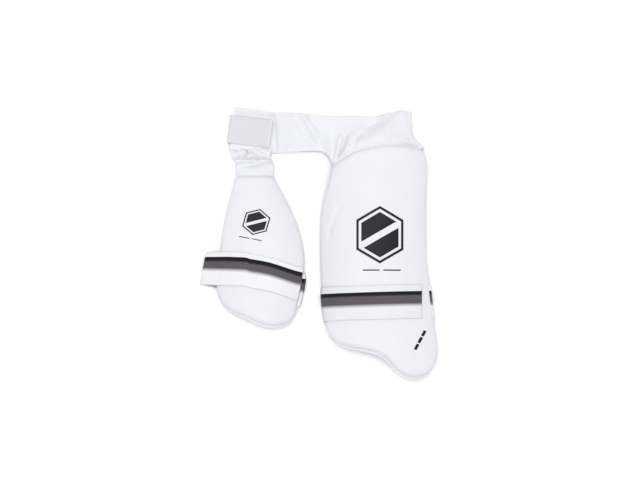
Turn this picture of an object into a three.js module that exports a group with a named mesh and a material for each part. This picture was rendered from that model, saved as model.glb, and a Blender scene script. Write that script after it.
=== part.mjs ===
// A cricket thigh guard: an outer and an inner thigh pad that hang from one stretch waist belt.
// It lies on its back with the padded fronts up. Millimetres: X to the right, Y towards the
// waist, Z up from the surface that it lies on. The layout starts at the belt's left end, on
// the line of its top edge, and the finished group is moved so that the origin is under its middle.
import * as THREE from "three";

// Driving sizes of the two pads, each in plan as it lies
const OUTER_PAD_WIDTH = 165;
const OUTER_PAD_LENGTH = 335;
const OUTER_PAD_RISE = 34;
const OUTER_PAD_THICKNESS = 10;
const INNER_PAD_WIDTH = 123;
const INNER_PAD_LENGTH = 217;
const INNER_PAD_RISE = 24;
const INNER_PAD_THICKNESS = 9;
const PAD_EDGE_RADIUS = 7;
const BACKING_THICKNESS = 4;
const BACKING_EDGE_RADIUS = 3;
const RIM_WIDTH = 3.5;

// Belt, tab and hanger
const BELT_LENGTH = 260;
const BELT_WIDTH = 58;
const BELT_THICKNESS = 1.6;
const BELT_LOFT = 12;
const BELT_SEAM_OVERLAP = 8.7;
const BELT_CORNER_FLARE = 15;
const BELT_BACK_START = 6;
const BELT_BACK_TUCK = 1.2;
const TAB_LENGTH = 60;
const TAB_BACK_LENGTH = 26;
const TAB_WIDTH = 41;
const TAB_THICKNESS = 1.8;
const TAB_OVERHANG = 7;
const TAB_DROP = 24;
const TAB_TURN = THREE.MathUtils.degToRad(-7);
const HANGER_THICKNESS = 1.6;
const HANGER_WIDTH = 53;
const HANGER_DROP = 34.8;
const HANGER_CENTRE = 29.5;
const HANGER_PUFF = 5.5;

// Leg straps
const STRAP_WIDTH = 49;
const STRAP_THICKNESS = 1.8;
const OUTER_STRAP_DROP = 226;
const INNER_STRAP_DROP = 133;
const INNER_STRAP_SLACK = 20;
const INNER_STRAP_SLANT = 9;
const SLACK_RADIUS = 3;

// Clearances: between sewn pieces that touch, and under a strap that lies on a curved pad
const SEWN_GAP = 0.4;
const STRAP_GAP = 0.6;

// How finely the faces are cut
const OUTER_PAD_SIDES = 64;
const INNER_PAD_SIDES = 52;
const PAD_RINGS = 5;
const SECTION_SAMPLES = 90;
const STRAP_TURN_STEP = THREE.MathUtils.degToRad(8);
const STRAP_LONGEST_STEP = 22;
const STRAP_COLUMNS = 4;
const BELT_ROWS = 40;
const BELT_FOLD_ROWS = 6;
const BELT_BACK_ROWS = 12;
const BELT_COLUMNS = 9;
const HANGER_ROWS = 24;
const HANGER_COLUMNS = 13;
const TAB_ROWS = 6;
const TAB_FOLD_ROWS = 7;
const TAB_COLUMNS = 3;

// Outline of each pad, anticlockwise from its top left corner, in shares of its width and length
const OUTER_PAD_OUTLINE = [
  { across: 0.11, down: 0.094 },
  { across: 0.068, down: 0.167 },
  { across: 0.025, down: 0.245 },
  { across: 0.003, down: 0.326 },
  { across: 0, down: 0.425 },
  { across: 0.007, down: 0.575 },
  { across: 0.017, down: 0.682 },
  { across: 0.038, down: 0.764 },
  { across: 0.072, down: 0.815 },
  { across: 0.131, down: 0.848 },
  { across: 0.22, down: 0.867 },
  { across: 0.339, down: 0.878 },
  { across: 0.475, down: 0.895 },
  { across: 0.568, down: 0.923 },
  { across: 0.644, down: 0.964 },
  { across: 0.72, down: 0.991 },
  { across: 0.805, down: 1 },
  { across: 0.89, down: 0.989 },
  { across: 0.958, down: 0.959 },
  { across: 0.996, down: 0.91 },
  { across: 0.996, down: 0.854 },
  { across: 0.97, down: 0.768 },
  { across: 0.941, down: 0.682 },
  { across: 0.919, down: 0.575 },
  { across: 0.898, down: 0.468 },
  { across: 0.894, down: 0.339 },
  { across: 0.898, down: 0.21 },
  { across: 0.907, down: 0.103 },
  { across: 0.898, down: 0.052 },
  { across: 0.864, down: 0.021 },
  { across: 0.78, down: 0.008 },
  { across: 0.636, down: 0 },
  { across: 0.466, down: 0.008 },
  { across: 0.305, down: 0.027 },
  { across: 0.2, down: 0.056 },
];
const INNER_PAD_OUTLINE = [
  { across: 0.225, down: 0.007 },
  { across: 0.185, down: 0.086 },
  { across: 0.133, down: 0.197 },
  { across: 0.087, down: 0.316 },
  { across: 0.058, down: 0.441 },
  { across: 0.035, down: 0.553 },
  { across: 0.012, down: 0.651 },
  { across: 0, down: 0.75 },
  { across: 0.04, down: 0.822 },
  { across: 0.098, down: 0.872 },
  { across: 0.191, down: 0.905 },
  { across: 0.318, down: 0.938 },
  { across: 0.445, down: 0.974 },
  { across: 0.561, down: 0.997 },
  { across: 0.688, down: 1 },
  { across: 0.815, down: 0.98 },
  { across: 0.884, down: 0.938 },
  { across: 0.919, down: 0.868 },
  { across: 0.948, down: 0.789 },
  { across: 0.983, down: 0.684 },
  { across: 1, down: 0.566 },
  { across: 0.983, down: 0.461 },
  { across: 0.931, down: 0.349 },
  { across: 0.861, down: 0.243 },
  { across: 0.78, down: 0.148 },
  { across: 0.688, down: 0.053 },
  { across: 0.642, down: 0.007 },
  { across: 0.434, down: 0 },
];

// Sections of each pad's arch down its length: the sides it springs from, as shares of the
// width, and its height as a share of the rise
const OUTER_PAD_ARCH = [
  { down: 0, left: 0, right: 0.907, rise: 0.88 },
  { down: 0.3, left: 0, right: 0.9, rise: 1 },
  { down: 0.55, left: 0, right: 0.915, rise: 1 },
  { down: 0.7, left: 0, right: 0.947, rise: 1 },
  { down: 0.85, left: 0, right: 0.99, rise: 0.97 },
  { down: 1, left: 0, right: 1, rise: 0.9 },
];
const INNER_PAD_ARCH = [
  { down: 0, left: 0.225, right: 0.645, rise: 0.42 },
  { down: 0.15, left: 0.155, right: 0.78, rise: 0.68 },
  { down: 0.35, left: 0.077, right: 0.93, rise: 0.92 },
  { down: 0.56, left: 0.033, right: 1, rise: 1 },
  { down: 0.75, left: 0, right: 0.965, rise: 1 },
  { down: 0.88, left: 0, right: 0.925, rise: 0.92 },
  { down: 1, left: 0, right: 0.92, rise: 0.83 },
];

// The belt's front layer from its left end to its fold: how far its top and bottom edges stand
// above their plain lines, as shares of the belt's width, up to the outer pad's corner
const BELT_TOP_EDGE = [
  { along: 0, above: 0.12 },
  { along: 0.08, above: 0.09 },
  { along: 0.23, above: 0 },
  { along: 0.31, above: -0.018 },
  { along: 0.4, above: -0.043 },
  { along: 0.47, above: -0.083 },
  { along: 0.55, above: -0.107 },
  { along: 0.66, above: -0.112 },
  { along: 0.78, above: -0.112 },
  { along: 0.83, above: -0.076 },
  { along: 0.87, above: -0.007 },
  { along: 0.93, above: 0.03 },
  { along: 0.97, above: 0.026 },
  { along: 1, above: 0 },
];
const BELT_BOTTOM_EDGE = [
  { along: 0, above: 0.124 },
  { along: 0.06, above: 0.086 },
  { along: 0.23, above: -0.012 },
  { along: 0.31, above: 0 },
  { along: 0.4, above: 0.026 },
  { along: 0.47, above: 0.026 },
  { along: 0.51, above: -0.038 },
  { along: 0.537, above: -0.2 },
  { along: 0.554, above: -0.39 },
];
// Where the belt folds to its back layer, as a share of its length, from bottom edge to top edge
const BELT_FOLD_LINE = [
  { up: 0, along: 1.056 },
  { up: 0.26, along: 1 },
  { up: 1, along: 0.986 },
];
// Height of the belt's front layer over its flat left end, as a share of its loft
const BELT_HEIGHT = [
  { along: 0, height: 0 },
  { along: 0.17, height: 0 },
  { along: 0.23, height: 0.1 },
  { along: 0.34, height: 0.95 },
  { along: 0.6, height: 1 },
  { along: 1, height: 1 },
];
// Folds of the belt's front layer: each runs from one point to another, in shares of the belt's
// length and of its width above its bottom line. Width is a share of the belt's width, and
// height of its loft, below zero for a valley.
const BELT_FOLDS = [
  { fromX: 0.385, fromY: 0.92, toX: 0.47, toY: 0.3, width: 0.075, height: -0.24 },
  { fromX: 0.34, fromY: 0.85, toX: 0.42, toY: 0.25, width: 0.1, height: 0.16 },
  { fromX: 0.565, fromY: -0.2, toX: 0.59, toY: 0.34, width: 0.06, height: 0.2 },
  { fromX: 0.583, fromY: -0.16, toX: 0.622, toY: 0.38, width: 0.05, height: -0.26 },
  { fromX: 0.612, fromY: -0.1, toX: 0.655, toY: 0.42, width: 0.055, height: 0.22 },
  { fromX: 0.665, fromY: 0.08, toX: 0.7, toY: 0.42, width: 0.05, height: -0.22 },
  { fromX: 0.775, fromY: 0.64, toX: 0.88, toY: 0.98, width: 0.09, height: -0.34 },
  { fromX: 0.82, fromY: 0.5, toX: 0.93, toY: 0.95, width: 0.14, height: 0.36 },
];

// Hanger of the inner pad from the pad's seam up to its end under the tab: its sides, as shares
// of its width from its middle, and its height over the flat end, as a share of its puff
const HANGER_SECTIONS = [
  { up: 0, left: -0.5, right: 0.5, height: 0.95 },
  { up: 0.1, left: -0.52, right: 0.51, height: 0.75 },
  { up: 0.2, left: -0.53, right: 0.51, height: 0.45 },
  { up: 0.26, left: -0.56, right: 0.49, height: 0.02 },
  { up: 0.31, left: -0.62, right: 0.43, height: 0.72 },
  { up: 0.37, left: -0.67, right: 0.41, height: 1.05 },
  { up: 0.42, left: -0.69, right: 0.45, height: 0.7 },
  { up: 0.465, left: -0.68, right: 0.46, height: 0.12 },
  { up: 0.5, left: -0.66, right: 0.46, height: 0 },
  { up: 0.54, left: -0.65, right: 0.46, height: 0 },
  { up: 0.65, left: -0.58, right: 0.42, height: 0 },
  { up: 1, left: -0.57, right: 0.4, height: 0 },
];
// Gathers of the hanger, in shares of its width from its middle and of its length up
const HANGER_FOLDS = [
  { fromX: -0.22, fromY: 0.43, toX: -0.17, toY: 0.38, width: 0.035, height: -0.5 },
  { fromX: -0.17, fromY: 0.36, toX: -0.42, toY: 0.3, width: 0.05, height: -0.26 },
  { fromX: -0.15, fromY: 0.37, toX: 0.08, toY: 0.28, width: 0.05, height: 0.26 },
  { fromX: -0.1, fromY: 0.42, toX: 0.22, toY: 0.36, width: 0.045, height: -0.2 },
  { fromX: -0.3, fromY: 0.42, toX: -0.5, toY: 0.39, width: 0.05, height: 0.2 },
];

// Middle lines of the inner strap, in front and behind, across the pad: how far each hangs below
// the strap's left fold, as shares of the strap's width
const INNER_STRAP_FRONT = [
  { across: -0.18, below: 0 },
  { across: 0.05, below: 0.03 },
  { across: 0.34, below: 0.09 },
  { across: 0.63, below: 0.24 },
  { across: 0.9, below: 0.46 },
  { across: 1, below: 0.52 },
];
const INNER_STRAP_BACK = [
  { across: -0.18, below: 0 },
  { across: -0.02, below: 0.19 },
  { across: 1, below: 0.68 },
];
// Middle line of the outer strap, the same in front and behind
const OUTER_STRAP_LINE = [
  { across: 0, below: 0.08 },
  { across: 1, below: -0.02 },
];
// Directions, from the pad's right side round over its back, in which each strap starts and ends
const STRAP_START = THREE.MathUtils.degToRad(12);
const OUTER_STRAP_END = THREE.MathUtils.degToRad(52 - 360);
const INNER_STRAP_END = THREE.MathUtils.degToRad(48 - 360);

// Heights of the layers under the tab, from the floor up
const BELT_BACK_Z = BELT_THICKNESS / 2;
const TAB_BACK_Z = BELT_THICKNESS + SEWN_GAP + TAB_THICKNESS / 2;
const BELT_FRONT_Z = TAB_BACK_Z + (TAB_THICKNESS + BELT_THICKNESS) / 2 + SEWN_GAP;
const HANGER_Z = BELT_FRONT_Z + (BELT_THICKNESS + HANGER_THICKNESS) / 2 + SEWN_GAP;
const TAB_FRONT_Z = HANGER_Z + (HANGER_THICKNESS + TAB_THICKNESS) / 2 + SEWN_GAP;
// Height of the pads' springing lines, with the slanted rim's lower edge just over the strap
const PAD_LIFT = STRAP_THICKNESS + STRAP_GAP + BACKING_THICKNESS * 0.4;

// Height of the middle of each loop of slack that stands clear of the pad, with the strap on the floor
const SLACK_HEIGHT = STRAP_THICKNESS + STRAP_GAP + SLACK_RADIUS;

const { lerp, smoothstep } = THREE.MathUtils;

// Reads a table at a place along one of its columns, on a smooth curve through its rows.
function readTable(rows, along, column, place) {
  const last = rows.length - 1;
  if (place <= rows[0][along]) return rows[0][column];
  if (place >= rows[last][along]) return rows[last][column];
  const i = rows.findIndex((row) => row[along] > place) - 1;
  const slope = (j) => {
    const before = rows[Math.max(j - 1, 0)];
    const after = rows[Math.min(j + 1, last)];
    return (after[column] - before[column]) / (after[along] - before[along]);
  };
  const span = rows[i + 1][along] - rows[i][along];
  const t = (place - rows[i][along]) / span;
  const rise = rows[i + 1][column] - rows[i][column];
  const start = slope(i) * span;
  const end = slope(i + 1) * span;
  return rows[i][column] + t * start + t * t * (3 * rise - 2 * start - end) + t ** 3 * (start + end - 2 * rise);
}

// Sum of soft ridges and valleys at a point of the plane that their table is drawn in.
function foldHeight(folds, x, y, lengthX, lengthY, widthUnit) {
  let sum = 0;
  for (const fold of folds) {
    const from = new THREE.Vector2(fold.fromX * lengthX, fold.fromY * lengthY);
    const run = new THREE.Vector2(fold.toX * lengthX, fold.toY * lengthY).sub(from);
    const to = new THREE.Vector2(x, y).sub(from);
    const share = THREE.MathUtils.clamp(to.dot(run) / run.lengthSq(), 0, 1);
    const away = to.distanceTo(run.clone().multiplyScalar(share));
    sum += fold.height * Math.exp(-((away / (fold.width * widthUnit)) ** 2));
  }
  return sum;
}

// Closed geometry from points and triangles, turned so that its faces point out.
function closedGeometry(points, triangles) {
  let volume = 0;
  for (const [a, b, c] of triangles) volume += points[a].dot(points[b].clone().cross(points[c]));
  const faces = volume < 0 ? triangles.map(([a, b, c]) => [a, c, b]) : triangles;
  const geometry = new THREE.BufferGeometry().setFromPoints(points);
  geometry.setIndex(faces.flat());
  geometry.computeVertexNormals();
  return geometry;
}

// Sheet of even thickness about a grid of points.
function sheet(grid, thickness) {
  const rows = grid.length;
  const columns = grid[0].length;
  const normal = (i, j) => {
    const along = grid[Math.min(i + 1, rows - 1)][j].clone().sub(grid[Math.max(i - 1, 0)][j]);
    const across = grid[i][Math.min(j + 1, columns - 1)].clone().sub(grid[i][Math.max(j - 1, 0)]);
    return along.cross(across).normalize();
  };
  const points = [];
  for (const side of [0.5, -0.5])
    grid.forEach((row, i) =>
      row.forEach((point, j) => points.push(point.clone().addScaledVector(normal(i, j), side * thickness))),
    );
  const front = (i, j) => i * columns + j;
  const back = (i, j) => (rows + i) * columns + j;
  const triangles = [];
  const quad = (a, b, c, d) => triangles.push([a, b, c], [a, c, d]);
  for (let i = 0; i < rows - 1; i++) {
    for (let j = 0; j < columns - 1; j++) {
      quad(front(i, j), front(i + 1, j), front(i + 1, j + 1), front(i, j + 1));
      quad(back(i, j), back(i, j + 1), back(i + 1, j + 1), back(i + 1, j));
    }
    quad(front(i, 0), back(i, 0), back(i + 1, 0), front(i + 1, 0));
    quad(front(i + 1, columns - 1), back(i + 1, columns - 1), back(i, columns - 1), front(i, columns - 1));
  }
  for (let j = 0; j < columns - 1; j++) {
    quad(front(0, j + 1), back(0, j + 1), back(0, j), front(0, j));
    quad(front(rows - 1, j), back(rows - 1, j), back(rows - 1, j + 1), front(rows - 1, j + 1));
  }
  return closedGeometry(points, triangles);
}

// Body with a pole at each end and rings of points between them.
function ringBody(firstPole, rings, lastPole) {
  const sides = rings[0].length;
  const points = [firstPole, ...rings.flat(), lastPole];
  const at = (ring, side) => 1 + ring * sides + (side % sides);
  const triangles = [];
  for (let side = 0; side < sides; side++) {
    triangles.push([0, at(0, side), at(0, side + 1)]);
    for (let ring = 0; ring < rings.length - 1; ring++) {
      triangles.push([at(ring, side), at(ring + 1, side), at(ring + 1, side + 1)]);
      triangles.push([at(ring, side), at(ring + 1, side + 1), at(ring, side + 1)]);
    }
    triangles.push([at(rings.length - 1, side + 1), at(rings.length - 1, side), points.length - 1]);
  }
  return closedGeometry(points, triangles);
}

// One thigh pad: an arched form in plan, with its seam surface between front and backing.
class Pad {
  constructor({ left, top, width, length, rise, thickness, outline, arch, sides, middle }) {
    Object.assign(this, { left, top, width, length, rise, thickness, arch });
    const corners = outline.map(
      ({ across, down }) => new THREE.Vector3(left + across * width, top - down * length, 0),
    );
    const curve = new THREE.CatmullRomCurve3(corners, true, "centripetal");
    curve.arcLengthDivisions = sides * 20;
    this.edge = curve.getSpacedPoints(sides).slice(0, sides);
    this.fineEdge = curve.getSpacedPoints(sides * 8);
    this.middle = new THREE.Vector3(left + middle.across * width, top - middle.down * length, 0);
  }

  // Point of the arch over a place in plan, raised along the arch's normal.
  pointAt(x, y, height) {
    const down = (this.top - y) / this.length;
    const springLeft = this.left + readTable(this.arch, "down", "left", down) * this.width - RIM_WIDTH;
    const springRight = this.left + readTable(this.arch, "down", "right", down) * this.width + RIM_WIDTH;
    const rise = readTable(this.arch, "down", "rise", down) * this.rise;
    const half = (springRight - springLeft) / 2;
    const radius = (half * half + rise * rise) / (2 * rise);
    const sine = (x - springLeft - half) / radius;
    const cosine = Math.sqrt(1 - sine * sine);
    return new THREE.Vector3(x + sine * height, y, PAD_LIFT + rise - radius + cosine * (radius + height));
  }

  // Distance in plan from a place inside the pad to its edge.
  inset(x, y) {
    return Math.min(...this.fineEdge.map((p) => Math.hypot(p.x - x, p.y - y)));
  }

  // Point on the pad's front over a place in plan, rounded down to the seam at the edge.
  frontAt(x, y) {
    const share = Math.min(this.inset(x, y) / PAD_EDGE_RADIUS, 1);
    return this.pointAt(x, y, SEWN_GAP / 2 + this.thickness * Math.sqrt(1 - (1 - share) ** 2));
  }

  // Places in plan all round, a distance inside the edge, or outside it if below zero.
  ringInside(distance) {
    return this.edge.map((p) => {
      const inwards = this.middle.clone().sub(p).normalize();
      return p.clone().addScaledVector(inwards, distance);
    });
  }

  // Rings from just inside the edge's rounding to the middle.
  innerRings() {
    const start = this.ringInside(PAD_EDGE_RADIUS * 1.2);
    return Array.from({ length: PAD_RINGS }, (_, k) =>
      start.map((p) => p.clone().lerp(this.middle, k / PAD_RINGS)),
    );
  }

  frontBody() {
    const edgeRings = [0, 0.1, 0.35, 0.8].map((share) => this.ringInside(share * PAD_EDGE_RADIUS));
    const seam = (ring) => ring.map((p) => this.pointAt(p.x, p.y, SEWN_GAP / 2));
    const face = (ring) => ring.map((p) => this.frontAt(p.x, p.y));
    const inner = this.innerRings();
    const rim = seam(edgeRings[0]);
    const rings = [
      ...inner.toReversed().map(face),
      ...edgeRings.slice(1).toReversed().map(face),
      rim,
      ...inner.map(seam),
    ];
    const { x, y } = this.middle;
    return ringBody(this.frontAt(x, y), rings, this.pointAt(x, y, SEWN_GAP / 2));
  }

  backingBody() {
    const seam = (ring) => ring.map((p) => this.pointAt(p.x, p.y, -SEWN_GAP / 2));
    const back = (ring, share) => {
      const depth = BACKING_THICKNESS * Math.sqrt(1 - (1 - share) ** 2);
      return ring.map((p) => this.pointAt(p.x, p.y, -SEWN_GAP / 2 - depth));
    };
    const inner = this.innerRings();
    const rounding = [1, 0.5, 0.15].map((share) =>
      back(this.ringInside(share * BACKING_EDGE_RADIUS - RIM_WIDTH), share),
    );
    const rings = [
      ...inner.toReversed().map((ring) => back(ring, 1)),
      ...rounding,
      seam(this.ringInside(-RIM_WIDTH)),
      seam(this.ringInside(0)),
      ...inner.map(seam),
    ];
    const { x, y } = this.middle;
    const backPole = this.pointAt(x, y, -SEWN_GAP / 2 - BACKING_THICKNESS);
    return ringBody(backPole, rings, this.pointAt(x, y, -SEWN_GAP / 2));
  }

  // Highest place of the pad's edge at a distance across it.
  topEdge(x) {
    let best = -Infinity;
    for (let i = 0; i < this.fineEdge.length - 1; i++) {
      const a = this.fineEdge[i];
      const b = this.fineEdge[i + 1];
      if ((a.x - x) * (b.x - x) <= 0 && a.x !== b.x) best = Math.max(best, lerp(a.y, b.y, (x - a.x) / (b.x - a.x)));
    }
    return best;
  }

  // Left and right ends of the pad at a height in plan.
  sidesAt(y) {
    const crossings = [];
    for (let i = 0; i < this.fineEdge.length - 1; i++) {
      const a = this.fineEdge[i];
      const b = this.fineEdge[i + 1];
      if ((a.y - y) * (b.y - y) <= 0 && a.y !== b.y) crossings.push(lerp(a.x, b.x, (y - a.y) / (b.y - a.y)));
    }
    return [Math.min(...crossings), Math.max(...crossings)];
  }
}

// Leg strap: a band round the pad's section. It lies on the pad's front and on the floor behind
// it, and is drawn out sideways round any slack. Each slack is a roll of air inside a free fold.
class Strap {
  constructor({ pad, drop, frontLine, backLine, end, slack }) {
    Object.assign(this, { pad, frontLine, backLine, end, slack });
    this.level = pad.top - drop;
    this.reach = STRAP_GAP + STRAP_THICKNESS / 2;
  }

  // Middle line of the strap, in front or behind, shifted by a share of its width.
  lineY(line, x, share) {
    const below = readTable(line, "across", "below", (x - this.pad.left) / this.pad.width);
    return this.level - (below + share) * STRAP_WIDTH;
  }

  // Discs whose hull the strap follows: points of the pad's front, its rim over the floor and
  // the slack.
  section(share) {
    const discs = [];
    for (let k = 0; k <= SECTION_SAMPLES; k++) {
      const rough = this.pad.left + (k / SECTION_SAMPLES) * this.pad.width;
      const y = this.lineY(this.frontLine, rough, share);
      const [left, right] = this.pad.sidesAt(y);
      const front = this.pad.frontAt(THREE.MathUtils.clamp(rough, left, right), y);
      discs.push({ x: front.x, z: front.z, radius: 0 });
    }
    for (const side of [0, 1]) {
      const near = this.pad.left + side * this.pad.width;
      for (const line of [this.frontLine, this.backLine]) {
        const y = this.lineY(line, near, share);
        const x = this.pad.sidesAt(y)[side] + (side ? RIM_WIDTH : -RIM_WIDTH);
        discs.push({ x, z: this.pad.pointAt(x, y, 0).z, radius: 0 });
        discs.push({ x, z: STRAP_THICKNESS / 2 + this.reach, radius: 0 });
      }
    }
    const slack = this.slack.map(({ x, slant }) => ({ x: x - share * slant, z: SLACK_HEIGHT, radius: SLACK_RADIUS }));
    return [...discs, ...slack];
  }

  // The strap's path at a share of its width, with a point for each direction and equal
  // numbers of points between far ones.
  path(share, counts) {
    const discs = this.section(share);
    const turns = Math.ceil((STRAP_START - this.end) / STRAP_TURN_STEP);
    const stops = [];
    for (let k = 0; k <= turns; k++) {
      const angle = lerp(STRAP_START, this.end, k / turns);
      const out = { x: Math.cos(angle), z: Math.sin(angle) };
      const furthest = (disc) => disc.x * out.x + disc.z * out.z + disc.radius;
      const disc = discs.reduce((best, next) => (furthest(next) > furthest(best) ? next : best));
      const radius = disc.radius + this.reach;
      const x = disc.x + out.x * radius;
      const z = Math.max(disc.z + out.z * radius, STRAP_THICKNESS / 2);
      const behind = 1 - smoothstep(z, PAD_LIFT, PAD_LIFT + this.pad.thickness);
      const y = lerp(this.lineY(this.frontLine, x, share), this.lineY(this.backLine, x, share), behind);
      stops.push(new THREE.Vector3(x, y, z));
    }
    const steps = counts ?? stops.slice(1).map((p, k) => Math.ceil(p.distanceTo(stops[k]) / STRAP_LONGEST_STEP));
    const points = [stops[0]];
    steps.forEach((count, k) => {
      for (let i = 1; i <= count; i++) points.push(stops[k].clone().lerp(stops[k + 1], i / count));
    });
    return { points, steps };
  }

  body() {
    const { steps } = this.path(0, null);
    const columns = [];
    for (let j = 0; j < STRAP_COLUMNS; j++) columns.push(this.path(j / (STRAP_COLUMNS - 1) - 0.5, steps).points);
    return sheet(columns[0].map((_, i) => columns.map((column) => column[i])), STRAP_THICKNESS);
  }
}

// Waist belt: its front layer is sewn to the outer pad's rim and folds over to the back layer.
class Belt {
  constructor(outerPad) {
    this.pad = outerPad;
    const corner = BELT_BOTTOM_EDGE.at(-1);
    this.cornerX = corner.along * BELT_LENGTH;
  }

  // Place of the front layer's bottom edge, seated on the pad's rim past the pad's corner.
  bottomPoint(x, plainZ) {
    const above = readTable(BELT_BOTTOM_EDGE, "along", "above", x / BELT_LENGTH);
    const free = new THREE.Vector3(x, -BELT_WIDTH * (1 - above), plainZ);
    const seatX = Math.max(x, this.cornerX);
    const edge = this.pad.topEdge(seatX);
    const seat = this.pad.pointAt(seatX, edge + BELT_THICKNESS, SEWN_GAP + BELT_THICKNESS);
    const sewn = smoothstep(x, this.cornerX - BELT_WIDTH * 0.3, this.cornerX);
    if (x >= this.cornerX) return seat;
    return new THREE.Vector3(x, free.y, lerp(free.z, seat.z, sewn));
  }

  // Point of the front layer, from its left end to its fold and from bottom edge to top edge.
  frontPoint(x, up) {
    const share = x / BELT_LENGTH;
    const plainZ = BELT_FRONT_Z + readTable(BELT_HEIGHT, "along", "height", share) * (BELT_LOFT - BELT_FRONT_Z);
    const bottom = this.bottomPoint(x, plainZ);
    const top = BELT_WIDTH * readTable(BELT_TOP_EDGE, "along", "above", share);
    const y = lerp(bottom.y, top, up);
    const fold = foldHeight(BELT_FOLDS, x, y + BELT_WIDTH, BELT_LENGTH, BELT_WIDTH, BELT_WIDTH);
    const nearSeam = x >= this.cornerX ? smoothstep(up, 0, 0.2) : 1;
    const z = lerp(plainZ, bottom.z, 1 - smoothstep(up, 0, 1)) + fold * BELT_LOFT * nearSeam;
    return new THREE.Vector3(lerp(bottom.x, x, smoothstep(up, 0, 0.3)), y, z);
  }

  // One line along the belt, round its fold and back, at a share of its width.
  line(up) {
    const foldX = BELT_LENGTH * readTable(BELT_FOLD_LINE, "up", "along", up);
    let endX = foldX;
    for (let tries = 0; tries < 8; tries++) endX = foldX - (this.frontPoint(endX, up).z - BELT_BACK_Z) / 2;
    const points = [];
    for (let k = 0; k <= BELT_ROWS; k++) points.push(this.frontPoint((endX * k) / BELT_ROWS, up));
    const end = points.at(-1);
    const radius = (end.z - BELT_BACK_Z) / 2;
    for (let k = 1; k < BELT_FOLD_ROWS; k++) {
      const turn = (Math.PI * k) / BELT_FOLD_ROWS;
      const z = BELT_BACK_Z + radius * (1 + Math.cos(turn));
      points.push(new THREE.Vector3(end.x + radius * Math.sin(turn), end.y, z));
    }
    for (let k = 0; k <= BELT_BACK_ROWS; k++) {
      const share = k / BELT_BACK_ROWS;
      const x = lerp(end.x, BELT_BACK_START, share);
      const top = BELT_WIDTH * readTable(BELT_TOP_EDGE, "along", "above", x / BELT_LENGTH) - BELT_BACK_TUCK;
      const y = lerp(end.y, lerp(BELT_BACK_TUCK - BELT_WIDTH, top, up), smoothstep(share, 0, 0.3));
      points.push(new THREE.Vector3(x, y, BELT_BACK_Z));
    }
    return points;
  }

  body() {
    const lines = [];
    for (let j = 0; j < BELT_COLUMNS; j++) lines.push(this.line(j / (BELT_COLUMNS - 1)));
    return sheet(lines[0].map((_, i) => lines.map((line) => line[i])), BELT_THICKNESS);
  }
}

// Gathered hanger from the inner pad's rim to its end between the belt and the tab.
function hangerBody(pad) {
  const end = -TAB_DROP + TAB_WIDTH * 0.36;
  const grid = [];
  for (let i = 0; i < HANGER_ROWS; i++) {
    const up = i / (HANGER_ROWS - 1);
    const left = readTable(HANGER_SECTIONS, "up", "left", up);
    const right = readTable(HANGER_SECTIONS, "up", "right", up);
    const height = Math.max(readTable(HANGER_SECTIONS, "up", "height", up), 0);
    const sewn = 1 - smoothstep(up, 0, 0.2);
    const row = [];
    for (let j = 0; j < HANGER_COLUMNS; j++) {
      const across = lerp(left, right, j / (HANGER_COLUMNS - 1));
      const x = HANGER_CENTRE + across * HANGER_WIDTH;
      const seatY = pad.topEdge(HANGER_CENTRE + lerp(-0.49, 0.49, j / (HANGER_COLUMNS - 1)) * HANGER_WIDTH);
      const seat = pad.pointAt(x, seatY + HANGER_THICKNESS, SEWN_GAP + HANGER_THICKNESS);
      const length = end - seat.y;
      const gather = foldHeight(HANGER_FOLDS, across * HANGER_WIDTH, up * length, HANGER_WIDTH, length, HANGER_WIDTH);
      const rounding = 1 - 0.35 * (2 * (j / (HANGER_COLUMNS - 1)) - 1) ** 2;
      const z = HANGER_Z + HANGER_PUFF * (height * rounding + gather * (1 - sewn));
      row.push(new THREE.Vector3(x, lerp(seat.y, end, up), lerp(z, seat.z, sewn)));
    }
    grid.push(row);
  }
  return sheet(grid, HANGER_THICKNESS);
}

// Hook-and-loop tab: a strip folded round the belt's left end, drawn along X from its fold.
function tabBody() {
  const radius = (TAB_FRONT_Z - TAB_BACK_Z) / 2;
  const places = [];
  for (let k = 0; k < TAB_ROWS; k++) places.push({ x: lerp(TAB_BACK_LENGTH, radius, k / TAB_ROWS), z: TAB_BACK_Z });
  for (let k = 0; k <= TAB_FOLD_ROWS; k++) {
    const turn = (Math.PI * k) / TAB_FOLD_ROWS;
    places.push({ x: radius * (1 - Math.sin(turn)), z: TAB_BACK_Z + radius * (1 - Math.cos(turn)) });
  }
  for (let k = 1; k <= TAB_ROWS; k++) places.push({ x: lerp(radius, TAB_LENGTH, k / TAB_ROWS), z: TAB_FRONT_Z });
  const grid = places.map(({ x, z }) =>
    Array.from({ length: TAB_COLUMNS }, (_, j) => {
      const across = j / (TAB_COLUMNS - 1) - 0.5;
      return new THREE.Vector3(x, across * TAB_WIDTH, z);
    }),
  );
  return sheet(grid, TAB_THICKNESS);
}

const materials = {
  padCover: new THREE.MeshStandardMaterial({ color: 0xf1f0f6, roughness: 0.75 }),
  backing: new THREE.MeshStandardMaterial({ color: 0xe9e9ee, roughness: 0.9 }),
  beltCloth: new THREE.MeshStandardMaterial({ color: 0xeeeef5, roughness: 0.7 }),
  tabCloth: new THREE.MeshStandardMaterial({ color: 0xe1e2ea, roughness: 0.85 }),
  elastic: new THREE.MeshStandardMaterial({ color: 0xf2f1f5, roughness: 0.8 }),
};

function namedMesh(name, geometry, material) {
  const mesh = new THREE.Mesh(geometry, material);
  mesh.name = name;
  return mesh;
}

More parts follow.
